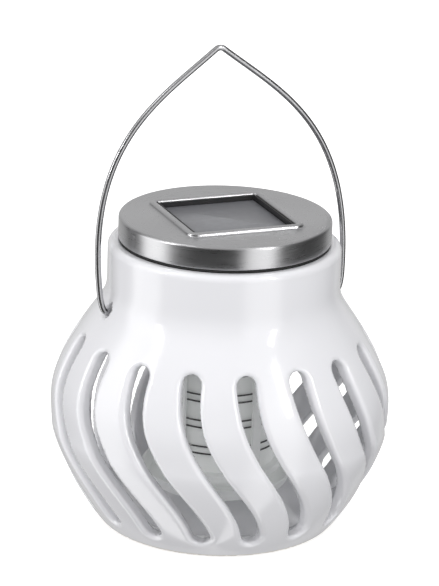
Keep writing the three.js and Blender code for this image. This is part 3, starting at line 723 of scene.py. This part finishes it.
def shrink_wrap():
    f = Finish("shrink_wrap", Roughness=0.3, Coat_Weight=0.5)
    band = f.spread(f.split()[0], 0.0118, 0.0122)
    ends = f.blend(f.noise(100), (0.10, 0.32, 0.46), (0.14, 0.40, 0.55))
    f.paint(f.blend(band, ends, (0.72, 0.73, 0.74)))
    f.roughness(f.noise(300), 0.24, 0.36)
    f.bump(f.noise(260, 2, (0.2, 1, 1)), 0.00008, 0.5)
    return f.material


def plated(name, low, high, rough):
    f = Finish(name, Metallic=1.0, Roughness=rough)
    f.colour(low, high, f.noise(220, 4))
    f.roughness(f.noise(600, 4), rough - 0.07, rough + 0.09)
    f.bump(f.noise(1500, 3), 0.00001, 0.5)
    return f.material


def frosted_tube():
    # The emission is painted light: the lamp is off, and the glow only lightens the tube in the
    # shade inside the pot.
    f = Finish(
        "frosted_tube", Roughness=0.42, Subsurface_Weight=0.15,
        Subsurface_Radius=(0.002, 0.002, 0.002), Emission_Strength=0.075, Emission_Color=PAINTED_GLOW_TINT,
    )
    f.colour((0.78, 0.80, 0.79), (0.86, 0.87, 0.86), f.noise(45, 3))
    f.roughness(f.noise(1200, 3), 0.36, 0.50)
    f.bump(f.noise(2600, 2), 0.00001, 0.5)
    return f.material


def led_lens():
    f = Finish("led_lens", Roughness=0.06, IOR=1.5, Transmission_Weight=0.8)
    f.colour((0.66, 0.62, 0.92), (0.80, 0.78, 0.96), f.noise(300))
    f.roughness(f.noise(700), 0.04, 0.10)
    f.bump(f.noise(300, 2), 0.00003, 0.3)
    return f.material


def seal_rubber():
    f = Finish("seal_rubber", Roughness=0.75)
    f.colour((0.012, 0.012, 0.012), (0.03, 0.03, 0.03), f.noise(500, 4))
    f.roughness(f.noise(900), 0.65, 0.85)
    f.bump(f.noise(1600, 3), 0.00004, 0.6)
    return f.material


FINISHES = {
    "glazed_ceramic": glaze(),
    "wire": drawn_wire(),
    "steel": brushed_steel(),
    "black_plastic": plastic("black_plastic", (0.008, 0.008, 0.009), (0.016, 0.016, 0.017), 0.5),
    "solar_cell": solar_cell(),
    "seal_rubber": seal_rubber(),
    "circuit_board": circuit_board(),
    "transformer_tape": wound_tape(),
    "capacitor_red": dipped_epoxy(),
    "battery_wrap": shrink_wrap(),
    "zinc": plated("zinc_plate", (0.50, 0.50, 0.49), (0.68, 0.68, 0.67), 0.32),
    "white_plastic": plastic("white_plastic", (0.74, 0.74, 0.73), (0.84, 0.84, 0.83), 0.4),
    "lead_red": plastic("red_lead", (0.42, 0.02, 0.02), (0.56, 0.04, 0.03), 0.38, 0.00001),
    "lead_black": plastic("black_lead", (0.012, 0.012, 0.012), (0.03, 0.03, 0.03), 0.38, 0.00001),
    "frosted_tube": frosted_tube(),
    # Painted light: the cage parts and the tray glow a little to lighten the shade inside the pot.
    "cage_grey": plastic("cage_grey", (0.70, 0.71, 0.71), (0.78, 0.79, 0.785), 0.38, glow=0.09),
    "grid_steel": plated("grid_wire", (0.10, 0.10, 0.10), (0.22, 0.22, 0.22), 0.3),
    "led_lens": led_lens(),
}


# ---- The pot, from a distance field ----
def pot_outline():
    """The pot's section, [radius, height], anticlockwise."""
    low = bezier(POT_LOW, 60)
    high = bezier(POT_HIGH, 120)[:112]  # the neck's foot takes over a little before its end
    shoulder = high[-1]
    neck_foot = bezier([shoulder, (48.2, 96.0), (47.9, 98.0), (POT_NECK_R, 104)], 24)
    outside = np.vstack([low, high[:-1], neck_foot])
    inside = offset_left(np.vstack([low[8:], high]), POT_WALL)
    rim_out = arc((POT_NECK_R - POT_RIM_ROUND, POT_TOP_Z - POT_RIM_ROUND), POT_RIM_ROUND, 0, 90, 10)
    edge = 1.2
    rim_in = arc((POT_BORE_R + edge, POT_TOP_Z - edge), edge, 90, 180, 6)
    inner_top = [(POT_BORE_R, 98.0), (POT_BORE_R + 0.2, 96.0)]
    floor = [
        (43.5, POT_FLOOR_Z), (0, POT_FLOOR_Z), (0, FOOT_RECESS), (FOOT_RING_R - 1, FOOT_RECESS),
    ]
    foot = [(FOOT_RING_R, 0.6), (FOOT_RING_R + 0.6, 0)]
    return np.vstack([foot, outside, rim_out, rim_in, inner_top, inside[::-1], floor])


class SectionDistance:
    """Signed distance to a turned section, tabled over radius and height; negative in the wall."""

    def __init__(self, outline, pitch=0.35):
        self.pitch = pitch
        self.low = np.array([-1.0, -3.0])
        span = outline.max(0) + 3 - self.low
        counts = np.ceil(span / pitch).astype(int) + 1
        axes = [self.low[k] + pitch * np.arange(counts[k]) for k in (0, 1)]
        r, z = np.meshgrid(*axes, indexing="ij")
        nearest = np.full(r.shape, 1e9)
        inside = np.zeros(r.shape, bool)
        for a, b in zip(outline, np.roll(outline, -1, axis=0)):
            along = b - a
            length2 = along @ along
            if length2 < 1e-12:
                continue
            t = np.clip(((r - a[0]) * along[0] + (z - a[1]) * along[1]) / length2, 0, 1)
            away = (r - a[0] - t * along[0]) ** 2 + (z - a[1] - t * along[1]) ** 2
            nearest = np.minimum(nearest, away)
            if a[1] != b[1]:
                crosses = (a[1] > z) != (b[1] > z)
                inside ^= crosses & (r < a[0] + (z - a[1]) / along[1] * along[0])
        self.table = np.where(inside, -1, 1) * np.sqrt(nearest)

    def __call__(self, radius, height):
        u = np.clip((radius - self.low[0]) / self.pitch, 0, self.table.shape[0] - 1.001)
        v = np.clip((height - self.low[1]) / self.pitch, 0, self.table.shape[1] - 1.001)
        i, j = u.astype(int), v.astype(int)
        s, t = u - i, v - j
        near = self.table[i, j] * (1 - t) + self.table[i, j + 1] * t
        far = self.table[i + 1, j] * (1 - t) + self.table[i + 1, j + 1] * t
        return near * (1 - s) + far * s


def rounded_cut(solid, hole, radius):
    """A solid less a hole, their common edge rounded; both are distances, negative inside."""
    a, b = solid + radius, radius - hole
    corner = np.hypot(np.maximum(a, 0), np.maximum(b, 0))
    return np.minimum(np.maximum(a, b), 0) + corner - radius


def slot_sweep(z):
    """Degrees that a slot's middle has turned from its top, at a height."""
    t = np.clip((SLOT_TOP_Z - z) / (SLOT_TOP_Z - SLOT_BOTTOM_Z), 0, 1)
    return SLOT_SWEEP * (1 - np.cos(SLOT_EASE_SPAN * t**SLOT_EASE_POWER)) / 2


def pot_field():
    """The pot's distance field: the turned wall, less the slots and the bail's holes."""
    section = SectionDistance(pot_outline())
    belly = np.vstack([bezier(POT_LOW, 60), bezier(POT_HIGH, 60)])
    heights = np.linspace(-5, 125, 521)
    surface_r = np.interp(heights, belly[:, 1], belly[:, 0])
    sweep = slot_sweep(heights)
    slope = np.gradient(np.radians(sweep), heights)
    pitch = 360 / SLOT_COUNT
    top_z = SLOT_TOP_Z + SLOT_END_Z - SLOT_GLAZE
    bottom_z = SLOT_BOTTOM_Z - SLOT_END_Z

    def field(x, y, z):
        radius = np.hypot(x, y)
        wall = section(radius, z)
        outer_r = np.interp(z, heights, surface_r)
        turn = np.degrees(np.arctan2(x, -y)) - SLOT_AZIMUTH - np.interp(z, heights, sweep)
        turn = (turn + pitch / 2) % pitch - pitch / 2
        lean = 1 / np.sqrt(1 + (radius * np.interp(z, heights, slope)) ** 2)
        across = (np.radians(np.abs(turn)) - SLOT_HALF / outer_r) * radius * lean + SLOT_CORNER
        up = np.abs(z - (top_z + bottom_z) / 2) - (top_z - bottom_z) / 2 + SLOT_CORNER
        slot = np.minimum(np.maximum(across, up), 0) - SLOT_CORNER
        slot = slot + np.hypot(np.maximum(across, 0), np.maximum(up, 0))
        outside = np.clip((radius - outer_r + POT_WALL) / POT_WALL, 0, 1)
        edge = SLOT_EDGE_INNER + (SLOT_EDGE_OUTER - SLOT_EDGE_INNER) * outside
        made = rounded_cut(wall, slot, edge)
        hole = np.hypot(y, z - BAIL_HOLE_Z) - BAIL_HOLE_R
        hole = np.maximum(hole, 30 - np.abs(x))  # only near the wall
        return rounded_cut(made, hole, BAIL_HOLE_EDGE)

    return field


def gradient(field, points, step=0.35):
    """The field's slope at each point."""
    x, y, z = points.T
    slopes = [
        field(x + step, y, z) - field(x - step, y, z),
        field(x, y + step, z) - field(x, y - step, z),
        field(x, y, z + step) - field(x, y, z - step),
    ]
    return np.stack(slopes, 1) / (2 * step)


def settle(field, points, rounds):
    """Moves points onto the field's surface."""
    for _ in range(rounds):
        slopes = gradient(field, points)
        size2 = np.maximum((slopes**2).sum(1), 0.2)
        shift = slopes * (field(*points.T) / size2)[:, None]
        points = points - np.clip(shift, -1.0, 1.0)
    return points


def surface_net(field, low, high, cell):
    """A closed quad mesh of a field's zero level: one point in each grid cell that it crosses."""
    axes = [np.arange(low[k], high[k] + cell, cell) for k in range(3)]
    inside = field(*np.meshgrid(*axes, indexing="ij")) < 0
    n = np.array(inside.shape) - 1
    corners = sum(
        inside[i : i + n[0], j : j + n[1], k : k + n[2]].astype(int)
        for i in (0, 1) for j in (0, 1) for k in (0, 1)
    )
    crossed = (corners > 0) & (corners < 8)
    index = np.full(crossed.shape, -1)
    index[crossed] = np.arange(crossed.sum())
    points = np.array(low) + cell * (np.argwhere(crossed) + 0.5)
    quads = []
    for axis in range(3):
        u, v = (axis + 1) % 3, (axis + 2) % 3
        here = np.take(inside, range(n[axis]), axis)
        there = np.take(inside, range(1, n[axis] + 1), axis)
        for rising in (True, False):
            edges = np.argwhere((here & ~there) if rising else (~here & there))
            edges = edges[(edges[:, u] > 0) & (edges[:, v] > 0)]
            around = []
            for du, dv in ((-1, -1), (0, -1), (0, 0), (-1, 0)):
                at = edges.copy()
                at[:, u] += du
                at[:, v] += dv
                around.append(index[at[:, 0], at[:, 1], at[:, 2]])
            quad = np.stack(around, 1)
            quads.append(quad if rising else quad[:, ::-1])
    return points, np.concatenate(quads)


def relaxed(field, points, quads, rounds):
    """Evens out a surface net's quads, keeping it on the field's surface."""
    points = settle(field, points, 3)
    a = np.concatenate([quads[:, k] for k in range(4)])
    b = np.concatenate([quads[:, (k + 1) % 4] for k in range(4)])
    ends = np.concatenate([a, b])
    others = np.concatenate([b, a])
    count = np.bincount(ends, minlength=len(points))[:, None]
    for _ in range(rounds):
        total = [np.bincount(ends, points[others, k], len(points)) for k in range(3)]
        middle = np.stack(total, 1) / count
        points = settle(field, points + 0.7 * (middle - points), 1)
    return settle(field, points, 2)


def pot():
    """The glazed pot; its normals come straight from the field."""
    field = pot_field()
    points, quads = surface_net(field, *POT_SPAN, POT_CELL)
    points = relaxed(field, points, quads, 4)
    made = piece("pot", (points, quads), "glazed_ceramic", ["ceramic_body"], "pot", sharp=0)
    normals = gradient(field, points)
    normals /= np.linalg.norm(normals, axis=1)[:, None]
    made.data.normals_split_custom_set_from_vertices(normals.tolist())


# ---- The bail ----
def bail():
    right = np.vstack([
        bezier([(1.8, 104.4), (27.3, 84.8), (58.8, 69.6), (53.2, 6.6)], 110),
        bezier([(53.2, 6.6), (52.5, 2.4), (52, 0), (49.8, 0)], 14),
        np.linspace((49.8, 0), (40.6, 0), 6),
    ])
    top = bezier([(0, 105), (0.7, 105), (1.3, 104.8), (1.8, 104.4)], 6)
    half = np.vstack([top, right])
    left = half[:0:-1] * (-1, 1)
    flat = np.vstack([left, half])
    tilt = math.radians(BAIL_TILT)
    path = np.column_stack([flat[:, 0], flat[:, 1] * math.sin(tilt), flat[:, 1] * math.cos(tilt)])
    path[:, 2] += BAIL_PIVOT_Z
    piece("bail", swept(path, BAIL_WIRE_R, 20), "wire", ["bail_wire"], "bail")


# ---- The lid ----
def quarter_turns(per_quarter):
    """Angles round a circle, closer together at the diagonals."""
    t = np.arange(per_quarter) / per_quarter
    turn = np.pi / 2 * (t + 0.84 / (2 * np.pi) * np.sin(2 * np.pi * t))
    return np.concatenate([turn + k * np.pi / 2 for k in range(4)])


def square_reach(angles, half, corner):
    """Distance from the middle to a round-cornered square's side, at each angle."""
    a = np.abs((angles + np.pi / 4) % (np.pi / 2) - np.pi / 4)
    side = half / np.cos(a)
    middle = (half - corner) * np.array([1, 1])
    along = middle[0] * (np.cos(a) + np.sin(a))
    inside = np.maximum(along**2 - middle @ middle + corner**2, 0)
    on_corner = half * np.tan(a) > half - corner
    return np.where(on_corner, along + np.sqrt(inside), side)


def square_lathe(stations, per_quarter=96):
    """A closed tube round the Z axis. Each station is (reach out from the window, radius, share, z):
    its outline goes from the window's square at share 0 to the circle at share 1."""
    angles = quarter_turns(per_quarter)
    rings = []
    for out, radius, share, z in stations:
        square = square_reach(angles, WINDOW_HALF + out, max(1.2 + out, 0.4))
        reach = square * (1 - share) + radius * share
        x, y = reach * np.cos(angles), reach * np.sin(angles)
        rings.append(np.column_stack([x, y, np.full(len(angles), z)]))
    points = np.concatenate(rings)
    return points, grid_faces(len(stations), len(angles), True, True)


def lid():
    """Up the window's edge, over the bead, across the top, down the skirt and back inside."""
    top, under = LID_TOP_Z, LID_TOP_Z - LID_SHEET
    stations = [(0.0, 0, 0, under), (0.0, 0, 0, top + BEAD_HEIGHT * 0.45)]
    middle = BEAD_WIDTH * 0.45
    for a in np.radians(np.linspace(15, 165, 11)):
        rise = top + BEAD_HEIGHT * (0.45 + 0.55 * math.sin(a))
        stations.append((middle - middle * math.cos(a), 0, 0, rise))
    for out, rise in ((3.1, 0.55), (3.4, 0.25), (3.8, 0.08), (BEAD_SPAN, 0.0)):
        stations.append((out, 0, 0, top + rise))
    flat_r, edge_z = LID_R - LID_EDGE, top - LID_EDGE
    stations += [(BEAD_SPAN, flat_r, share, top) for share in np.linspace(0.08, 0.92, 12)]
    for a in np.radians(np.linspace(90, 0, 9)):
        stations.append((0, flat_r + LID_EDGE * math.cos(a), 1, edge_z + LID_EDGE * math.sin(a)))
    for share in (0.25, 0.5, 0.75):
        stations.append((0, LID_R, 1, edge_z - share * (edge_z - LID_SKIRT_Z - 0.5)))
    hem_r, hem_z = LID_R - SKIRT_ROUND, LID_SKIRT_Z + SKIRT_ROUND
    for a in np.radians(np.linspace(0, -180, 9)):
        stations.append((0, hem_r + SKIRT_ROUND * math.cos(a), 1, hem_z + SKIRT_ROUND * math.sin(a)))
    for inset, z in ((0.9, top - 2.4), (1.6, under - 0.3), (2.6, under)):
        stations.append((0, LID_R - inset, 1, z))
    stations += [(BEAD_SPAN, flat_r, share, under) for share in (0.7, 0.4, 0.15)]
    stations.append((2.0, 0, 0, under))
    piece("lid_cap", square_lathe(stations), "steel", ["lid_shell"], sharp=50)


def neck_seal():
    low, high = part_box("neck_seal")
    z0, z1, r1 = low.z / MM, high.z / MM, high.x / MM
    section = [(r1 - SEAL_WIDTH, z0), (r1, z0), (r1, z1), (r1 - SEAL_WIDTH, z1)]
    piece("lid_seal", turned(section, 0.35, 128), "seal_rubber", ["neck_seal"])


def window_frame():
    """The black recess that the solar panel sits in."""
    ledge, ledge_low, ledge_high = FRAME_LEDGE
    inner, outer, top = FRAME_WALL
    flange, flange_low, flange_high = FRAME_FLANGE
    corners = [
        (ledge, ledge_low), (outer, ledge_low), (outer, flange_low), (flange, flange_low),
        (flange, flange_high), (outer, flange_high), (outer, top), (inner, top),
        (inner, ledge_high), (ledge, ledge_high),
    ]
    clear = 10  # moves every corner off the axis, where none is rounded
    outline = rounded_outline([(reach + clear, z) for reach, z in corners], 0.15)
    stations = [(reach - clear, 0, 0, z) for reach, z in outline]
    piece("recess", square_lathe(stations, 48), "black_plastic", ["window_frame"])


def solar_panel():
    low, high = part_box("solar_panel")
    shape = slab(high.x / MM, high.y / MM, low.z / MM, high.z / MM, 0.6, 0.15)
    piece("solar_cell_plate", shape, "solar_cell", ["solar_panel"])


def lid_chassis():
    low, high = CHASSIS_Z
    inner, outer = PLUG_R
    body = turned([
        (0, low), (inner, low), (inner, PLUG_BOTTOM_Z), (outer, PLUG_BOTTOM_Z),
        (outer, low), (CHASSIS_R, low), (CHASSIS_R, high), (0, high),
    ], 0.4, 128)
    holes = drills(FLANGE_SCREWS, FLANGE_HOLE_R, low - 1, high + 1)
    holes.append(drill(*PANEL_LEADS, low - 1, high + 1))
    piece("lid_plug", combined(body, (), holes), "black_plastic", ["lid_chassis"])


# ---- Electronics under the lid ----
def electronics_housing():
    bottom, floor = HOUSING_Z
    under, top = FLANGE_Z
    inner, outer = HOUSING_R
    tub = turned([
        (0, bottom), (outer, bottom), (outer, under), (FLANGE_R, under),
        (FLANGE_R, top), (inner, top), (inner, floor), (0, floor),
    ], 0.6, 128)
    board = BOARD_Z[0]
    post = disc(BOARD_POST_R, floor - 0.5, board - 0.3, 0.2, 32)
    posts = [moved(post, x, y) for x, y in BOARD_SCREWS]
    holes = drills(BOARD_SCREWS, SCREW_HOLE_R, board - 9, board + 1)
    holes += drills(FLANGE_SCREWS, FLANGE_HOLE_R, under - 2, top + 1)
    holes += drills(CAGE_SCREWS, SCREW_HOLE_R, bottom - 2, floor + 1)
    holes.append(drill(*LAMP_LEADS, bottom - 2, floor + 1))
    holes.append(moved(slab(*SWITCH_HOLE, bottom - 1, floor + 1, 0.3, 0.05), 0, SWITCH_Y))
    shape = combined(tub, posts, holes)
    piece("housing_tub", shape, "black_plastic", ["electronics_housing"])


def screw(name, node, x, y, seat, direction, head_r, shank_r, length):
    """A pan-head screw pointing up (+1) or down (-1), its head's seat at a height."""
    outline = [(0, -1.5), (head_r * 0.7, -1.5)]
    for a in np.radians(np.linspace(60, 0, 6)):
        outline.append((head_r * (0.7 + 0.3 * math.cos(a)), -0.2 - 1.25 * math.sin(a)))
    outline += [(head_r, 0), (shank_r, 0)]
    z, pitch = 0.3, 0.5
    while z < length - 0.6:
        outline += [(shank_r, z), (shank_r * 0.84, z + pitch / 2)]
        z += pitch
    outline += [(shank_r * 0.5, length), (0, length)]
    slot = slab(head_r * 0.7, 0.3, -2, -1.0, 0.1, 0.02)
    points, faces = combined(lathe(outline, 32), (), [slot])
    if direction < 0:
        points = points * (1, -1, -1)
    piece(name, (points + np.array([x, y, seat]), faces), "zinc", [node])


def screws():
    for name, node, places, *size in SCREWS:
        for k, (x, y) in enumerate(places, 1):
            screw(f"{name}_{k}", f"{node}_{k}", x, y, *size)


def circuit_board_disc():
    low, high = BOARD_Z
    holes = drills(BOARD_SCREWS, SCREW_HOLE_R, low - 1, high + 1)
    shape = combined(disc(BOARD_R, low, high, 0.15), (), holes)
    piece("main_board", shape, "circuit_board", ["circuit_board"])


def battery_cell():
    half, r = BATTERY_HALF, BATTERY_R
    outline = rounded_outline([
        (0, -half), (r - 1.2, -half), (r - 1.2, -half + 0.3), (r, -half + 0.3),
        (r, half - 1.0), (r - 1.0, half - 0.3), (3.4, half - 0.3), (3.4, half),
        (2.8, half), (2.8, half + 0.9), (0, half + 0.9),
    ], 0.25)
    points, faces = lathe(outline, 64)
    points = points[:, [2, 1, 0]] * (-1, 1, 1) + np.array([0, BATTERY_Y, BATTERY_Z])
    piece("battery_cell", (points, faces), "battery_wrap", ["battery"])


def battery_coil():
    t = np.linspace(0, 1, 120)
    radius = SPRING_R[0] + (SPRING_R[1] - SPRING_R[0]) * t
    turn = t * SPRING_TURNS * 2 * np.pi
    path = np.column_stack([t * SPRING_LENGTH, radius * np.cos(turn), radius * np.sin(turn)])
    path += np.array([BATTERY_HALF + 0.7, BATTERY_Y, BATTERY_Z])
    piece("battery_coil", swept(path, SPRING_WIRE_R, 12), "wire", ["battery_spring"])


def smooth_route(points, count=16):
    """A path that passes smoothly through a few points."""
    p = np.array(points, float)
    p = np.vstack([2 * p[0] - p[1], p, 2 * p[-1] - p[-2]])
    t = np.linspace(0, 1, count, endpoint=False)[:, None]
    parts = []
    for a, b, c, d in zip(p, p[1:], p[2:], p[3:]):
        bend = (2 * a - 5 * b + 4 * c - d) * t**2 + (3 * b - a - 3 * c + d) * t**3
        parts.append(b + 0.5 * ((c - a) * t + bend))
    return np.vstack([*parts, p[-2]])


def lead(name, node, slot, route):
    """A lead, drawn in a little so that its domed ends stay within its route."""
    path = smooth_route(route)
    first, last = path[1] - path[0], path[-2] - path[-1]
    path[0] += first / np.linalg.norm(first) * LEAD_R
    path[-1] += last / np.linalg.norm(last) * LEAD_R
    piece(name, swept(path, LEAD_R, 14), slot, [node])


def leads():
    """Two leads from the panel down to the board, then two from the board down to the lamp."""
    poles = (("red", "positive", -LEAD_APART), ("black", "negative", LEAD_APART))
    low, high = BOARD_Z[0] - 0.3, BOARD_Z[1] + 0.3
    for colour, pole, side in poles:
        x, y = PANEL_LEADS[0] + side, PANEL_LEADS[1]
        route = [(x, y, 125.6), (x, y, 120), (x + 1.5, y + 1.5, 113), (x + 2, y + 2, high)]
        lead(f"panel_lead_{colour}", f"solar_lead_{pole}", f"lead_{colour}", route)
    for colour, pole, side in poles:
        x, y = LAMP_LEADS[0] + side, LAMP_LEADS[1]
        route = [(x, y + 1, low), (x, y + 0.4, 96), (x, y, 88), (x, y, 82.2)]
        lead(f"lamp_lead_{colour}", f"lamp_lead_{pole}", f"lead_{colour}", route)


# ---- The cage ----
def cage():
    low, high = CAGE_TOP_Z
    holes = [drill(*LAMP_LEADS, low - 1, high + 1)]
    holes += drills(CAGE_SCREWS, SCREW_HOLE_R, low - 1, high + 1)
    cap = combined(disc(CAGE_R, low, high, 0.6), (), holes)
    piece("cage_cap", cap, "cage_grey", ["cage_top"])
    piece("cage_foot", disc(CAGE_R, *CAGE_BASE_Z, 0.6), "cage_grey", ["cage_base"])


def light_tube():
    inner, outer = TUBE_R
    low, high = TUBE_Z
    floor = low + outer - inner
    body = turned([
        (0, low), (outer, low), (outer, high), (inner, high), (inner, floor), (0, floor),
    ], 0.6, 128)
    piece("lamp_tube", body, "frosted_tube", ["light_tube"])


def polar(radius, azimuth, z):
    """A point by azimuth in degrees from -Y towards +X."""
    a = np.radians(azimuth)
    return np.stack(np.broadcast_arrays(radius * np.sin(a), -radius * np.cos(a), z), -1)


def electrode(name, node, offset, riser, opening):
    """Open wire hoops on an upright riser; each opening leaves room for the other riser."""
    start = opening + HOOP_OPENING / 2
    turns = np.linspace(start, start + 360 - HOOP_OPENING, 160)
    parts = [
        swept(polar(HOOP_R, turns, HOOP_Z + HOOP_PITCH * k + offset), HOOP_WIRE_R, 10)
        for k in range(HOOP_PAIRS)
    ]
    heights = np.linspace(HOOP_Z - HOOP_GAP + RISER_R, CAGE_TOP_Z[0] - 0.3 - RISER_R, 12)
    parts.append(swept(polar(HOOP_R, np.full(12, riser), heights), RISER_R, 12))
    piece(name, joined(parts), "grid_steel", [node])


def grids():
    upper, lower = RISER_AZIMUTH
    half = HOOP_GAP / 2
    electrode("hoops_upper", "grid_upper", half, upper, lower)
    electrode("hoops_lower", "grid_lower", -half, lower, upper)


def catch_tray():
    low, high = TRAY_Z
    floor = low + TRAY_WALL
    hub = TRAY_HUB_R - TRAY_WALL
    dish = turned([
        (0, low), (TRAY_FLOOR_R, low), (TRAY_R, high), (TRAY_R - TRAY_WALL, high),
        (TRAY_FLOOR_R - TRAY_WALL / 2, floor), (TRAY_HUB_R, floor), (TRAY_HUB_R, TRAY_HUB_TOP_Z),
        (hub, TRAY_HUB_TOP_Z), (hub, floor), (0, floor),
    ], 0.45, 128)
    half_x, half_y, bottom, top = GRIP
    grip = slab(half_x, half_y, bottom, top, 1.2, 0.5)
    piece("tray", combined(dish, [grip]), "cage_grey", ["catch_tray"], "tray")


def leds():
    turns = np.radians(np.linspace(90, 0, 12))
    dome = [(LED_R * math.cos(a), -3.5 - LED_R * math.sin(a)) for a in turns]
    dome[0] = (0, dome[0][1])
    lens = lathe([*dome, (LED_R, -0.9), (LED_RIM_R, -0.85), (LED_RIM_R, 0), (0, 0)], 40)
    for k in range(4):
        shape = moved(lens, *polar(LED_RING_R, 45 + 90 * k, LED_Z))
        piece(f"uv_lamp_{k + 1}", shape, "led_lens", [f"uv_led_{k + 1}"])


def soften(nodes):
    """Small bevels on the blocky CAD nodes that are kept."""
    sizes = {
        "transformer": 0.3, "grid_capacitor": 1.2, "driver_chip": 0.15, "battery_plate": 0.12,
        "switch_body": 0.2, "switch_knob": 0.25, "led_board": 0.15,
    }
    sizes.update({name: 0.3 for name in nodes if name.startswith("cage_post")})
    for name, size in sizes.items():
        change = nodes[name].modifiers.new("soft_edges", "BEVEL")
        change.width = size * MM
        change.segments = 3
        change.limit_method = "ANGLE"
        change.angle_limit = math.radians(35)
        change.harden_normals = True
        nodes[name].data.shade_smooth()


def main():
    camera()
    studio()
    pot()
    bail()
    lid()
    neck_seal()
    window_frame()
    solar_panel()
    lid_chassis()
    electronics_housing()
    screws()
    circuit_board_disc()
    battery_cell()
    battery_coil()
    leads()
    cage()
    light_tube()
    grids()
    catch_tray()
    leds()
    slots = {s["node"]: s["material_slot"] for s in frame["record"]["subparts"]}
    for name, node in frame["nodes"].items():
        node.data.materials.clear()
        node.data.materials.append(FINISHES[slots[name]])
    soften(frame["nodes"])


main()
